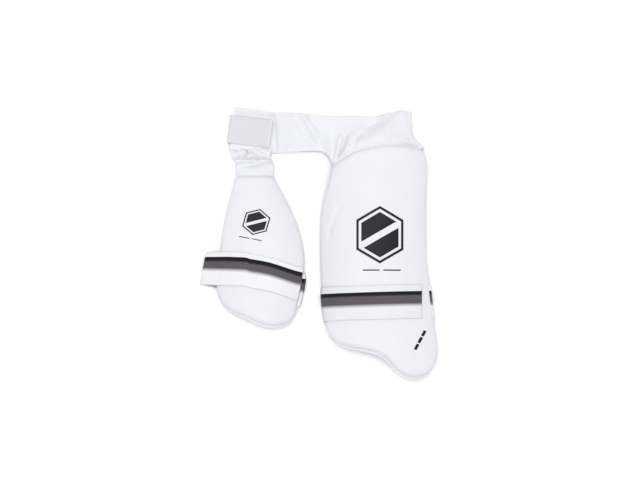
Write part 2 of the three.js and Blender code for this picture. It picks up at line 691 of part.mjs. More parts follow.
const outerPad = new Pad({
  left: BELT_LENGTH + BELT_CORNER_FLARE - 0.898 * OUTER_PAD_WIDTH,
  top: BELT_SEAM_OVERLAP - BELT_WIDTH,
  width: OUTER_PAD_WIDTH,
  length: OUTER_PAD_LENGTH,
  rise: OUTER_PAD_RISE,
  thickness: OUTER_PAD_THICKNESS,
  outline: OUTER_PAD_OUTLINE,
  arch: OUTER_PAD_ARCH,
  sides: OUTER_PAD_SIDES,
  middle: { across: 0.5, down: 0.45 },
});
const innerPad = new Pad({
  left: HANGER_CENTRE - 0.434 * INNER_PAD_WIDTH,
  top: -BELT_WIDTH - HANGER_DROP,
  width: INNER_PAD_WIDTH,
  length: INNER_PAD_LENGTH,
  rise: INNER_PAD_RISE,
  thickness: INNER_PAD_THICKNESS,
  outline: INNER_PAD_OUTLINE,
  arch: INNER_PAD_ARCH,
  sides: INNER_PAD_SIDES,
  middle: { across: 0.48, down: 0.58 },
});
const outerStrap = new Strap({
  pad: outerPad,
  drop: OUTER_STRAP_DROP,
  frontLine: OUTER_STRAP_LINE,
  backLine: OUTER_STRAP_LINE,
  end: OUTER_STRAP_END,
  slack: [],
});
const innerStrap = new Strap({
  pad: innerPad,
  drop: INNER_STRAP_DROP,
  frontLine: INNER_STRAP_FRONT,
  backLine: INNER_STRAP_BACK,
  end: INNER_STRAP_END,
  slack: [{ x: innerPad.left - INNER_STRAP_SLACK, slant: INNER_STRAP_SLANT }],
});

const tab = namedMesh("belt_tab", tabBody(), materials.tabCloth);
tab.position.set(-TAB_OVERHANG, -TAB_DROP, 0);
tab.rotation.z = TAB_TURN;

const guard = new THREE.Group();
guard.add(
  namedMesh("outer_pad", outerPad.frontBody(), materials.padCover),
  namedMesh("outer_backing", outerPad.backingBody(), materials.backing),
  namedMesh("inner_pad", innerPad.frontBody(), materials.padCover),
  namedMesh("inner_backing", innerPad.backingBody(), materials.backing),
  namedMesh("outer_strap", outerStrap.body(), materials.elastic),
  namedMesh("inner_strap", innerStrap.body(), materials.elastic),
  namedMesh("waist_belt", new Belt(outerPad).body(), materials.beltCloth),
  namedMesh("inner_hanger", hangerBody(innerPad), materials.beltCloth),
  tab,
);

// The origin lies on the floor under the middle of the whole guard.
const box = new THREE.Box3().setFromObject(guard, true);
const centre = box.getCenter(new THREE.Vector3());
guard.position.set(-centre.x, -centre.y, -box.min.z);

export default guard;
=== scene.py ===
"""Looks of a cricket thigh guard that lies flat on its back: two foam pads with their linings, a
waist belt with its tab, the gathered hanger of the inner pad, and two elastic leg straps.
Lengths in this file are in millimetres, in the layout of the solids: X to the right and Y up the
leg from the top left corner of the belt, Z up from the floor. Meshes are stored in metres."""

import math

import bpy
import numpy as np
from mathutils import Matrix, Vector, noise


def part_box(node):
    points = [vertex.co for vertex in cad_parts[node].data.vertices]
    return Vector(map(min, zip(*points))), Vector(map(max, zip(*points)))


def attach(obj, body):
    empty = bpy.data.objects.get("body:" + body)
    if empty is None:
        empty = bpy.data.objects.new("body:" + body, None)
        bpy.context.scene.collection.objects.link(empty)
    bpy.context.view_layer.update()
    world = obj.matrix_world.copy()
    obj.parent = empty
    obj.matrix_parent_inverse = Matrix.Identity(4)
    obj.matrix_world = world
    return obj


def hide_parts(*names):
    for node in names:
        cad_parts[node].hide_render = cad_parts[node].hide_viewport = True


MM = 0.001

# Camera: how high it stands over the floor, its lens, and the width of floor that it sees
CAMERA_ELEVATION = math.radians(87.5)
CAMERA_LENS = 200.0
SENSOR_WIDTH = 36.0
VIEW_WIDTH = 928.0
VIEW_CENTRE = (3.8, 4.5, 12.0)

# Light and floor, in metres and watts: (name, place, side length, power)
LAMPS = (
    ("softbox", (-0.8, 0.9, 4.6), 2.4, 100.0),
    ("fill", (0.9, -0.9, 4.4), 2.4, 69.0),
)
WORLD_COLOUR = (0.97, 0.98, 1.0, 1.0)
WORLD_STRENGTH = 0.62
FLOOR_HALF = 6.0
FLOOR_DEPTH = 0.0004

# Sizes of the solids that the pieces replace
OUTER_PAD_WIDTH = 165.0
OUTER_PAD_LENGTH = 335.0
OUTER_PAD_RISE = 34.0
OUTER_PAD_THICKNESS = 10.0
INNER_PAD_WIDTH = 123.0
INNER_PAD_LENGTH = 217.0
INNER_PAD_RISE = 24.0
INNER_PAD_THICKNESS = 9.0
PAD_EDGE_RADIUS = 7.0
PAD_FACE_START = PAD_EDGE_RADIUS * 1.2
BACKING_THICKNESS = 4.0
RIM_WIDTH = 3.5
LINING_SEAM_INSET = 4.0
BELT_LENGTH = 260.0
BELT_WIDTH = 58.0
BELT_THICKNESS = 1.6
BELT_LOFT = 12.0
BELT_SEAM_OVERLAP = 8.7
BELT_CORNER_LIFT = 0.12
BELT_CORNER_FLARE = 15.0
BELT_BACK_START = 6.0
BELT_BACK_TUCK = 1.2
TAB_LENGTH = 61.4
TAB_BACK_LENGTH = 26.0
TAB_WIDTH = 41.0
TAB_THICKNESS = 1.8
TAB_OVERHANG = 8.4
TAB_DROP = 24.0
TAB_TURN = math.radians(-7)
TAB_CURL = 1.9
HANGER_THICKNESS = 1.6
HANGER_WIDTH = 53.0
HANGER_DROP = 34.8
HANGER_CENTRE = 29.5
HANGER_PUFF = 5.5
STRAP_WIDTH = 49.0
STRAP_THICKNESS = 1.8
OUTER_STRAP_DROP = 226.0
INNER_STRAP_DROP = 133.0
INNER_STRAP_SLACK = 17.0
INNER_STRAP_SLANT = 9.0
SLACK_RADIUS = 3.0
SEWN_GAP = 0.4
STRAP_GAP = 0.6

# Outlines of the pads, anticlockwise from the top left corner: (across, down) in shares
OUTER_PAD_OUTLINE = (
    (0.11, 0.094), (0.068, 0.167), (0.025, 0.245), (0.003, 0.326), (0.0, 0.425),
    (0.007, 0.575), (0.017, 0.682), (0.038, 0.764), (0.072, 0.815), (0.131, 0.848),
    (0.22, 0.867), (0.339, 0.878), (0.475, 0.895), (0.568, 0.923), (0.644, 0.964),
    (0.72, 0.991), (0.805, 1.0), (0.89, 0.989), (0.958, 0.959), (0.996, 0.91),
    (0.996, 0.854), (0.97, 0.768), (0.941, 0.682), (0.919, 0.575), (0.898, 0.468),
    (0.894, 0.339), (0.898, 0.21), (0.907, 0.103), (0.898, 0.052), (0.864, 0.021),
    (0.78, 0.008), (0.636, 0.0), (0.466, 0.008), (0.305, 0.027), (0.2, 0.056),
)
INNER_PAD_OUTLINE = (
    (0.225, 0.007), (0.185, 0.086), (0.133, 0.197), (0.087, 0.316), (0.058, 0.441),
    (0.035, 0.553), (0.012, 0.651), (0.0, 0.75), (0.04, 0.822), (0.098, 0.872),
    (0.191, 0.905), (0.318, 0.938), (0.445, 0.974), (0.561, 0.997), (0.688, 1.0),
    (0.815, 0.98), (0.884, 0.938), (0.919, 0.868), (0.948, 0.789), (0.983, 0.684),
    (1.0, 0.566), (0.983, 0.461), (0.931, 0.349), (0.861, 0.243), (0.78, 0.148),
    (0.688, 0.053), (0.642, 0.007), (0.434, 0.0),
)
# Dents of the outer pad's cover: (from across, from down, to across, to down, width, height)
OUTER_PAD_DENTS = (
    (0.15, -0.27, 0.06, -0.38, 0.022, -0.9), (0.115, -0.25, 0.03, -0.36, 0.025, 0.5),
    (0.08, -0.33, 0.05, -0.42, 0.02, -0.5), (0.1, -0.62, 0.06, -0.7, 0.03, -0.5),
)
INNER_PAD_DENTS = (
    (0.2, -0.47, 0.14, -0.62, 0.03, -0.5), (0.55, -0.03, 0.3, -0.05, 0.03, -0.4),
)
# Where the left rim is pressed in by the leg strap: (from up, to up, depth)
OUTER_PAD_PRESS = (-304.0, -255.0, 1.7)
# Middles of the pads and places along their tops where the cloth is sewn on, in shares
OUTER_PAD_MIDDLE = (0.5, 0.45)
INNER_PAD_MIDDLE = (0.48, 0.58)
OUTER_PAD_CORNER = 0.898
INNER_PAD_TOP = 0.434
# Arches of the pads: (down, left and right sides as shares of the width, share of the rise)
OUTER_PAD_ARCH = (
    (0.0, 0.0, 0.907, 0.88), (0.3, 0.0, 0.9, 1.0), (0.55, 0.0, 0.915, 1.0),
    (0.7, 0.0, 0.947, 1.0), (0.85, 0.0, 0.99, 0.97), (1.0, 0.0, 1.0, 0.9),
)
INNER_PAD_ARCH = (
    (0.0, 0.225, 0.645, 0.42), (0.15, 0.155, 0.78, 0.68), (0.35, 0.077, 0.93, 0.92),
    (0.56, 0.033, 1.0, 1.0), (0.75, 0.0, 0.965, 1.0), (0.88, 0.0, 0.925, 0.92),
    (1.0, 0.0, 0.92, 0.83),
)
# Edges, fold and height of the belt's front layer, in shares of its length, width and loft
BELT_TOP_EDGE = (
    (0.0, 0.136), (0.08, 0.1), (0.23, 0.004), (0.31, -0.018), (0.4, -0.043), (0.47, -0.083),
    (0.55, -0.107), (0.66, -0.112), (0.78, -0.112), (0.83, -0.076), (0.87, -0.007),
    (0.93, 0.03), (0.97, 0.026), (1.0, 0.0),
)
BELT_BOTTOM_EDGE = (
    (0.0, 0.124), (0.06, 0.086), (0.23, -0.012), (0.31, 0.0), (0.4, 0.026), (0.47, 0.026),
    (0.51, -0.038), (0.537, -0.2), (0.554, -0.39),
)
BELT_FOLD_LINE = ((0.0, 1.056), (0.26, 1.0), (1.0, 0.986))
BELT_HEIGHT = ((0.0, 0.0), (0.17, 0.0), (0.23, 0.1), (0.34, 0.95), (0.6, 1.0), (1.0, 1.0))
# Folds: (from along, from up, to along, to up, width, height), a valley where height is negative
BELT_FOLDS = (
    (0.385, 0.92, 0.475, 0.24, 0.075, -0.26),
    (0.34, 0.85, 0.42, 0.25, 0.1, 0.16),
    (0.565, -0.2, 0.59, 0.34, 0.06, 0.2),
    (0.583, -0.16, 0.622, 0.38, 0.05, -0.26),
    (0.612, -0.1, 0.655, 0.42, 0.055, 0.24),
    (0.665, 0.08, 0.7, 0.42, 0.05, -0.22),
    (0.765, 0.6, 0.885, 1.0, 0.135, -0.44),
    (0.82, 0.5, 0.93, 0.95, 0.14, 0.36),
    (0.56, -0.3, 0.6, 0.02, 0.035, -0.14),
    (0.575, -0.28, 0.635, 0.16, 0.028, 0.2),
    (0.578, -0.12, 0.61, 0.34, 0.034, -0.16),
    (0.6, -0.1, 0.645, 0.12, 0.04, -0.06),
    (0.61, -0.06, 0.7, 0.3, 0.04, 0.18),
    (0.655, 0.12, 0.69, 0.36, 0.036, -0.16),
    (0.7, 0.22, 0.8, 0.36, 0.06, 0.12),
    (0.39, 0.88, 0.46, 0.4, 0.05, -0.1),
    (0.41, 0.96, 0.485, 0.52, 0.05, 0.12),
    (0.25, 0.5, 0.37, 0.2, 0.16, -0.1),
    (0.43, 0.28, 0.3, 0.1, 0.08, 0.12),
    (0.76, 0.62, 0.84, 0.93, 0.04, -0.16),
    (0.86, 0.36, 0.94, 0.5, 0.11, -0.12),
    (0.93, 0.1, 1.0, 0.3, 0.07, 0.1),
    (0.97, 1.1, 0.985, 0.3, 0.09, -0.3),
    (0.226, 0.1, 0.214, 0.88, 0.075, -0.26),
    (0.03, 1.12, 0.21, 1.03, 0.12, 0.32),
)
# Hanger: (up, left, right, height) and its gathers, in shares of its width, length and puff
HANGER_SECTIONS = (
    (0.0, -0.5, 0.5, 0.95), (0.1, -0.52, 0.51, 0.75), (0.2, -0.53, 0.51, 0.3),
    (0.26, -0.56, 0.49, 0.1), (0.31, -0.62, 0.43, 0.85), (0.37, -0.67, 0.41, 1.2),
    (0.42, -0.7, 0.45, 0.7), (0.465, -0.705, 0.46, 0.12), (0.5, -0.705, 0.46, 0.0),
    (0.54, -0.7, 0.46, 0.0), (0.65, -0.58, 0.42, 0.0), (1.0, -0.57, 0.4, 0.0),
)
HANGER_FOLDS = (
    (-0.22, 0.43, -0.17, 0.38, 0.035, -0.55),
    (-0.17, 0.36, -0.42, 0.3, 0.05, -0.3),
    (-0.15, 0.37, 0.08, 0.28, 0.05, 0.34),
    (-0.1, 0.42, 0.22, 0.36, 0.045, -0.25),
    (-0.3, 0.42, -0.5, 0.39, 0.05, 0.25),
    (-0.52, 0.45, -0.4, 0.38, 0.06, -0.4),
    (-0.64, 0.252, 0.46, 0.268, 0.075, -0.9),
    (-0.16, 0.4, 0.0, 0.3, 0.03, -0.4),
    (-0.1, 0.39, 0.1, 0.3, 0.028, 0.34),
    (-0.02, 0.38, 0.16, 0.3, 0.024, -0.3),
    (-0.27, 0.4, -0.42, 0.31, 0.03, -0.36),
    (-0.26, 0.37, -0.33, 0.29, 0.024, 0.3),
    (-0.24, 0.36, -0.24, 0.29, 0.02, -0.3),
    (0.16, 0.42, 0.38, 0.35, 0.04, -0.3),
    (0.2, 0.36, 0.42, 0.3, 0.035, 0.28),
    (-0.42, 0.12, 0.2, 0.2, 0.045, -0.35),
)
HANGER_SLIT = ((-0.245, 0.49, -0.21, 0.375, 0.024, -1.0),)
# Middle lines of the straps: (across the pad, below in shares of the strap's width)
INNER_STRAP_FRONT = (
    (-0.18, 0.0), (0.05, 0.034), (0.2, 0.053), (0.345, 0.076), (0.37, 0.107), (0.5, 0.162),
    (0.63, 0.233), (0.9, 0.445), (1.0, 0.505),
)
INNER_STRAP_BACK = ((-0.18, 0.0), (-0.02, 0.23), (1.0, 0.68))
OUTER_STRAP_LINE = ((0.0, 0.08), (1.0, -0.02))
# Across the strap, in shares: start and end of the black line, start and end of the full grey
# band, and where it has faded out
OUTER_STRIPES = (0.2, 0.284, 0.34, 0.543, 0.652)
INNER_STRIPES = (0.134, 0.222, 0.276, 0.43, 0.532)
STRAP_START = math.radians(12)
OUTER_STRAP_END = (math.radians(56 - 360), math.radians(4))
INNER_STRAP_END = (math.radians(47 - 360), 0.0)

# Prints: middle in the layout, turn, half sizes, and spans of the bars along their line
OUTER_BADGE_AT = (209.5, -179.5)
OUTER_BADGE_SIZE = (36.0, 41.5)
INNER_BADGE_AT = (32.5, -160.5)
INNER_BADGE_TURN = math.radians(-14)
INNER_BADGE_SIZE = (19.0, 19.5)
OUTER_RULE = ((-24, -2), (3, 26))
OUTER_RULE_AT = (211.0, -230.5)
INNER_RULE = ((-15, -1.5), (2, 15))
INNER_RULE_AT = (25.0, -184.5)
INNER_RULE_TURN = math.radians(-12)
LOBE_BARS = ((-15, -6), (-4, 5), (7, 15.5))
LOBE_BARS_AT = (263.8, -331.4)
LOBE_BARS_TURN = math.radians(64)

# Stitch lines: first and last row of the sheet's grid
BELT_SEAM_ROWS = (185, 327)
BELT_HEM_ROWS = (82, 312)
BELT_CORNER_ROWS = (298, 327)
TAB_EDGE_ROWS = (52, 104)
THREAD_LIFT = 0.08

# Heights of the layers under the tab, and of the pads' springing lines
BELT_BACK_Z = BELT_THICKNESS / 2
TAB_BACK_Z = BELT_THICKNESS + SEWN_GAP + TAB_THICKNESS / 2
BELT_FRONT_Z = TAB_BACK_Z + (TAB_THICKNESS + BELT_THICKNESS) / 2 + SEWN_GAP
HANGER_Z = BELT_FRONT_Z + (BELT_THICKNESS + HANGER_THICKNESS) / 2 + SEWN_GAP
TAB_FRONT_Z = HANGER_Z + (HANGER_THICKNESS + TAB_THICKNESS) / 2 + SEWN_GAP
PAD_LIFT = STRAP_THICKNESS + STRAP_GAP + BACKING_THICKNESS * 0.4
SLACK_HEIGHT = STRAP_THICKNESS + STRAP_GAP + SLACK_RADIUS

TAB_SELVEDGE_START = TAB_BACK_LENGTH + TAB_LENGTH + 1.5

# Colours, linear
WHITE_COVER = (0.708, 0.693, 0.729)
WHITE_BELT = (0.71, 0.706, 0.746)
WHITE_ELASTIC = (0.755, 0.745, 0.77)
WIDE_ELASTIC = (0.718, 0.709, 0.734)
# Painted shade: a darker copy of the elastic for the side of each strap loop that faces the leg,
# standing in for the shade inside the loop
PAINTED_LOOP_SHADE = (0.52, 0.515, 0.54)
LINING = (0.71, 0.705, 0.735)
TAB_GREY = (0.6, 0.592, 0.626)
TAB_SELVEDGE = (0.66, 0.655, 0.685)
INK = (0.004, 0.004, 0.006)
BAND_GREY = (0.092, 0.081, 0.092)
THREAD = (0.72, 0.71, 0.74)
GREY_THREAD = (0.36, 0.35, 0.38)


def smoothstep(x, low, high):
    t = np.clip((np.asarray(x, float) - low) / (high - low), 0, 1)
    return t * t * (3 - 2 * t)


def mix(a, b, share):
    return a + (b - a) * share


def read_table(rows, column, place):
    """Reads a column of a table at places along its first column, on a smooth curve."""
    x = np.array([row[0] for row in rows], float)
    v = np.array([row[column] for row in rows], float)
    slopes = np.zeros(len(x))
    for j in range(len(x)):
        before, after = max(j - 1, 0), min(j + 1, len(x) - 1)
        slopes[j] = (v[after] - v[before]) / (x[after] - x[before])
    at = np.clip(np.asarray(place, float), x[0], x[-1])
    i = np.clip(np.searchsorted(x, at, "right") - 1, 0, len(x) - 2)
    span = x[i + 1] - x[i]
    t = (at - x[i]) / span
    rise = v[i + 1] - v[i]
    start, end = slopes[i] * span, slopes[i + 1] * span
    square = t * t * (3 * rise - 2 * start - end)
    return v[i] + t * start + square + t**3 * (start + end - 2 * rise)


def fold_height(folds, x, y, length_x, length_y, unit):
    """Sum of soft ridges and valleys at points of the plane in which their table is drawn."""
    total = np.zeros(np.broadcast(x, y).shape)
    for from_x, from_y, to_x, to_y, width, height in folds:
        start = np.array([from_x * length_x, from_y * length_y])
        run = np.array([to_x * length_x, to_y * length_y]) - start
        share = np.clip(((x - start[0]) * run[0] + (y - start[1]) * run[1]) / (run @ run), 0, 1)
        away = np.hypot(x - start[0] - run[0] * share, y - start[1] - run[1] * share)
        total = total + height * np.exp(-((away / (width * unit)) ** 2))
    return total


def closed_curve(corners, count):
    """Points at equal distances round a centripetal Catmull-Rom curve through the corners."""
    corners = np.asarray(corners, float)
    fine = []
    for i in range(len(corners)):
        p0, p1, p2, p3 = (corners[(i + k - 1) % len(corners)] for k in range(4))
        d0, d1, d2 = (math.sqrt(np.linalg.norm(b - a)) for a, b in ((p0, p1), (p1, p2), (p2, p3)))
        m1 = ((p1 - p0) / d0 - (p2 - p0) / (d0 + d1) + (p2 - p1) / d1) * d1
        m2 = ((p2 - p1) / d1 - (p3 - p1) / (d1 + d2) + (p3 - p2) / d2) * d1
        t = np.linspace(0, 1, 60, endpoint=False)[:, None]
        fine.append(
            p1 + m1 * t + (-3 * p1 + 3 * p2 - 2 * m1 - m2) * t**2
            + (2 * p1 - 2 * p2 + m1 + m2) * t**3
        )
    return spaced(np.concatenate([*fine, fine[0][:1]]), count + 1)[:-1]


def spaced(points, count):
    """The same line with this many points at equal distances."""
    steps = np.linalg.norm(np.diff(points, axis=0), axis=1)
    along = np.concatenate([[0], np.cumsum(steps)])
    at = np.linspace(0, along[-1], count)
    return np.stack([np.interp(at, along, points[:, k]) for k in range(points.shape[1])], axis=1)


class Pad:
    """One thigh pad: an arched form in plan, with its seam surface between front and backing."""

    def __init__(self, left, top, size, outline, arch, middle, dents, press=None):
        width, length, self.rise, self.thickness = size
        self.left, self.top, self.width, self.length = left, top, width, length
        self.arch, self.dents, self.press = arch, dents, press
        corners = [(left + across * width, top - down * length) for across, down in outline]
        self.corners = corners
        self.fine_edge = closed_curve(corners, 1400)
        self.middle = np.array([left + middle[0] * width, top - middle[1] * length])

    def point(self, x, y, height):
        """Points of the arch over places in plan, raised along the arch's normal."""
        x, y = np.broadcast_arrays(np.asarray(x, float), np.asarray(y, float))
        down = (self.top - y) / self.length
        low = self.left + read_table(self.arch, 1, down) * self.width - RIM_WIDTH
        high = self.left + read_table(self.arch, 2, down) * self.width + RIM_WIDTH
        rise = read_table(self.arch, 3, down) * self.rise
        half = (high - low) / 2
        radius = (half * half + rise * rise) / (2 * rise)
        sine = (x - low - half) / radius
        cosine = np.sqrt(1 - sine * sine)
        z = PAD_LIFT + rise - radius + cosine * (radius + height)
        return np.stack([x + sine * height, y, z], axis=-1)

    def inset(self, x, y):
        """Distances in plan from places inside the pad to its edge."""
        shape = np.shape(x)
        places = np.stack([np.ravel(x), np.ravel(y)], axis=1)
        parts = [
            np.sqrt(((part[:, None, :] - self.fine_edge[None]) ** 2).sum(-1).min(1))
            for part in np.array_split(places, max(1, len(places) // 1500))
        ]
        return np.concatenate(parts).reshape(shape)

    def front_height(self, x, y):
        share = np.minimum(self.inset(x, y) / PAD_EDGE_RADIUS, 1)
        return SEWN_GAP / 2 + self.thickness * np.sqrt(np.maximum(1 - (1 - share) ** 2, 0))

    def front(self, x, y, lift=0.0):
        return self.point(x, y, self.front_height(x, y) + lift)

    def waves(self, flat):
        """Slight waves and dents of the cover at points of the front."""
        x, y = flat[..., 0], flat[..., 1]
        spots = flat.reshape(-1, 3)
        wave = soft_noise(spots, 38.0, 3.0) * 0.45 + soft_noise(spots, 14.0, 9.0) * 0.12
        size = (self.width, self.length, self.width)
        dent = fold_height(self.dents, x - self.left, y - self.top, *size)
        return (wave.reshape(x.shape) + dent) * smoothstep(self.inset(x, y), 2, 14)

    def pressed(self, points):
        """The points with the left rim pressed in where the leg strap turns round it."""
        if self.press is None:
            return points
        low, high, depth = self.press
        x, y = points[..., 0], points[..., 1]
        band = smoothstep(y, low - 6, low) * (1 - smoothstep(y, high, high + 6))
        near = 1 - smoothstep(x, self.left + 4, self.left + 18)
        return np.stack([x + depth * band * near, y, points[..., 2]], -1)

    def ring(self, edge, distance):
        """Places all round, a distance inside the edge, or outside it if below zero."""
        away = self.middle - edge
        return edge + away / np.linalg.norm(away, axis=1, keepdims=True) * distance

    def crossing(self, axis, values):
        """Least and greatest places where the edge crosses each value of X (0) or Y (1)."""
        values = np.atleast_1d(np.asarray(values, float))
        a, b = self.fine_edge, np.roll(self.fine_edge, -1, axis=0)
        start, end = a[None, :, axis], b[None, :, axis]
        hit = (start - values[:, None]) * (end - values[:, None]) <= 0
        hit &= start != end
        share = (values[:, None] - start) / np.where(start == end, 1, end - start)
        other = a[None, :, 1 - axis] + share * (b - a)[None, :, 1 - axis]
        return (
            np.where(hit, other, np.inf).min(1),
            np.where(hit, other, -np.inf).max(1),
        )


def add_object(name, data):
    added = bpy.data.objects.new(name, data)
    bpy.context.scene.collection.objects.link(added)
    return added


def new_object(name, points, faces, uvs=None):
    """Mesh object from points in the layout's millimetres."""
    mesh = bpy.data.meshes.new(name)
    moved = (np.asarray(points, float).reshape(-1, 3) + ORIGIN) * MM
    mesh.from_pydata(moved.tolist(), [], [tuple(int(i) for i in f) for f in faces])
    mesh.update()
    if uvs is not None:
        layer = mesh.uv_layers.new(name="cloth")
        corner = np.empty(len(mesh.loops), int)
        mesh.loops.foreach_get("vertex_index", corner)
        layer.data.foreach_set("uv", np.asarray(uvs, float)[corner].ravel())
    mesh.polygons.foreach_set("use_smooth", [True] * len(mesh.polygons))
    turn_outwards(mesh)
    return add_object(name, mesh)


def turn_outwards(mesh):
    """Flips the faces of a closed mesh that are wound inwards."""
    co = np.empty(len(mesh.vertices) * 3)
    mesh.vertices.foreach_get("co", co)
    co = co.reshape(-1, 3)
    mesh.calc_loop_triangles()
    corners = np.empty(len(mesh.loop_triangles) * 3, int)
    mesh.loop_triangles.foreach_get("vertices", corners)
    a, b, c = co[corners.reshape(-1, 3)].transpose(1, 0, 2)
    if np.einsum("ij,ij->i", a, np.cross(b, c)).sum() < 0:
        mesh.flip_normals()


def grid_normals(grid):
    along = np.gradient(grid, axis=0)
    across = np.gradient(grid, axis=1)
    normals = np.cross(along, across)
    return normals / np.maximum(np.linalg.norm(normals, axis=-1, keepdims=True), 1e-9)


def paint_loop_shade(piece, grid, material):
    """Gives the side of a looped band that faces the leg its own darker material: painted shade inside
    the loop.
    """
    rows, columns = grid.shape[:2]
    normals = grid_normals(grid)
    top = int(grid[:, columns // 2, 2].argmax())
    side = (rows - 1) * (columns - 1)
    start = side if normals[top, columns // 2, 2] > 0 else 0
    piece.data.materials.append(material)
    for k in range(start, start + side):
        piece.data.polygons[k].material_index = 1


def edge_taper(columns, share):
    """Thickness of a cloth's section as a share, rounded off towards both edges."""
    u = np.abs(np.linspace(-1, 1, columns))
    start = 1 - share
    return np.sqrt(np.clip(1 - ((u - start) / share).clip(0, 1) ** 2 * 0.85, 0.05, 1))


def sheet_faces(rows, columns):
    front = np.arange(rows * columns).reshape(rows, columns)
    back = front + rows * columns
    faces = []
    for layer, turn in ((front, 1), (back, -1)):
        quads = np.stack([layer[:-1, :-1], layer[1:, :-1], layer[1:, 1:], layer[:-1, 1:]], -1)
        faces += quads.reshape(-1, 4)[:, ::turn].tolist()
    for j, turn in ((0, 1), (columns - 1, -1)):
        quads = np.stack([front[:-1, j], back[:-1, j], back[1:, j], front[1:, j]], -1)
        faces += quads[:, ::turn].tolist()
    for i, turn in ((0, -1), (rows - 1, 1)):
        quads = np.stack([front[i, :-1], back[i, :-1], back[i, 1:], front[i, 1:]], -1)
        faces += quads[:, ::turn].tolist()
    return faces


def sheet(name, grid, thickness, taper=0.06):
    """Closed sheet about a grid of points, thinner at its long edges, with a map in metres."""
    rows, columns = grid.shape[:2]
    normals = grid_normals(grid)
    half = (thickness / 2 * edge_taper(columns, taper))[None, :, None]
    along = np.cumsum(np.r_[0, np.linalg.norm(np.diff(grid[:, columns // 2], axis=0), axis=1)])
    across = np.cumsum(np.r_[0, np.linalg.norm(np.diff(grid[rows // 2], axis=0), axis=1)])
    uv = np.stack(np.meshgrid(along * MM, across * MM, indexing="ij"), -1).reshape(-1, 2)
    points = np.concatenate([grid + normals * half, grid - normals * half])
    return new_object(name, points, sheet_faces(rows, columns), np.concatenate([uv, uv]))


def ring_faces(rings, sides):
    at = 1 + np.arange(rings * sides).reshape(rings, sides)
    after = np.roll(at, -1, axis=1)
    faces = [(0, int(a), int(b)) for a, b in zip(at[0], after[0])]
    quads = np.stack([at[:-1], at[1:], after[1:], after[:-1]], -1)
    faces += quads.reshape(-1, 4).tolist()
    last = rings * sides + 1
    return faces + [(int(b), int(a), last) for a, b in zip(at[-1], after[-1])]


def ring_body(name, first, rings, last):
    points = np.concatenate([[first], np.concatenate(rings), [last]])
    return new_object(name, points, ring_faces(len(rings), len(rings[0])))


def soft_noise(points, size, seed):
    """Smooth noise from about -1 to 1 at each point, with bumps of this size."""
    return np.array([noise.noise(Vector(p / size) + Vector((seed, 0, 0))) for p in points])


def pad_rings(pad, edge, start, count):
    first = pad.ring(edge, start)
    shares = np.linspace(0, 1, count, endpoint=False)
    return [mix(first, pad.middle, s) for s in shares]


def pad_front(name, pad, sides, rings):
    """The moulded front: a rounded edge and a smooth face with slight waves in the foam."""
    edge = closed_curve(pad.corners, sides)
    places = [pad.ring(edge, 0.0)]
    for turn in np.linspace(0, math.pi / 2, 11)[1:-1]:
        places.append(pad.ring(edge, (1 - math.cos(turn)) * PAD_EDGE_RADIUS))
    inner = pad_rings(pad, edge, PAD_FACE_START, rings)
    face = []
    for ring in [*places[1:], *inner]:
        flat = pad.front(ring[:, 0], ring[:, 1])
        flat[:, 2] += pad.waves(flat)
        face.append(flat)
    rim = pad.point(places[0][:, 0], places[0][:, 1], SEWN_GAP / 2)
    below = [pad.point(r[:, 0], r[:, 1], SEWN_GAP / 2) for r in inner[::6]]
    top = pad.front(*pad.middle) + (0, 0, 0.2)
    under = pad.point(*pad.middle, SEWN_GAP / 2)
    rings = [pad.pressed(ring) for ring in (*face[::-1], rim, *below)]
    return ring_body(name, top, rings, under)


def pad_backing(name, pad, sides, rings):
    """The lining, with a soft rolled rim that shows round the front."""
    edge = closed_curve(pad.corners, sides)
    inner = pad_rings(pad, edge, PAD_FACE_START, rings)
    roll = []
    for turn in np.linspace(0, math.pi, 13):
        out = math.sin(turn) * BACKING_THICKNESS / 2
        depth = (1 - math.cos(turn)) * BACKING_THICKNESS / 2
        ring = pad.ring(edge, -RIM_WIDTH + BACKING_THICKNESS / 2 - out)
        roll.append(pad.point(ring[:, 0], ring[:, 1], -SEWN_GAP / 2 - depth))
    seat = [pad.ring(edge, d) for d in (1.0, 0.0)]
    seam = [pad.point(r[:, 0], r[:, 1], -SEWN_GAP / 2) for r in [*inner[::6][::-1], *seat]]
    back = []
    for ring in inner:
        flat = pad.point(ring[:, 0], ring[:, 1], -SEWN_GAP / 2 - BACKING_THICKNESS)
        flat[:, 2] += soft_noise(flat, 30.0, 5.0) * 0.4
        back.append(flat)
    top = pad.point(*pad.middle, -SEWN_GAP / 2)
    under = pad.point(*pad.middle, -SEWN_GAP / 2 - BACKING_THICKNESS)
    return ring_body(name, top, [pad.pressed(ring) for ring in (*seam, *roll, *back)], under)


def strap_y(pad, drop, line, x, share):
    below = read_table(line, 1, (x - pad.left) / pad.width)
    return pad.top - drop - (below + share) * STRAP_WIDTH


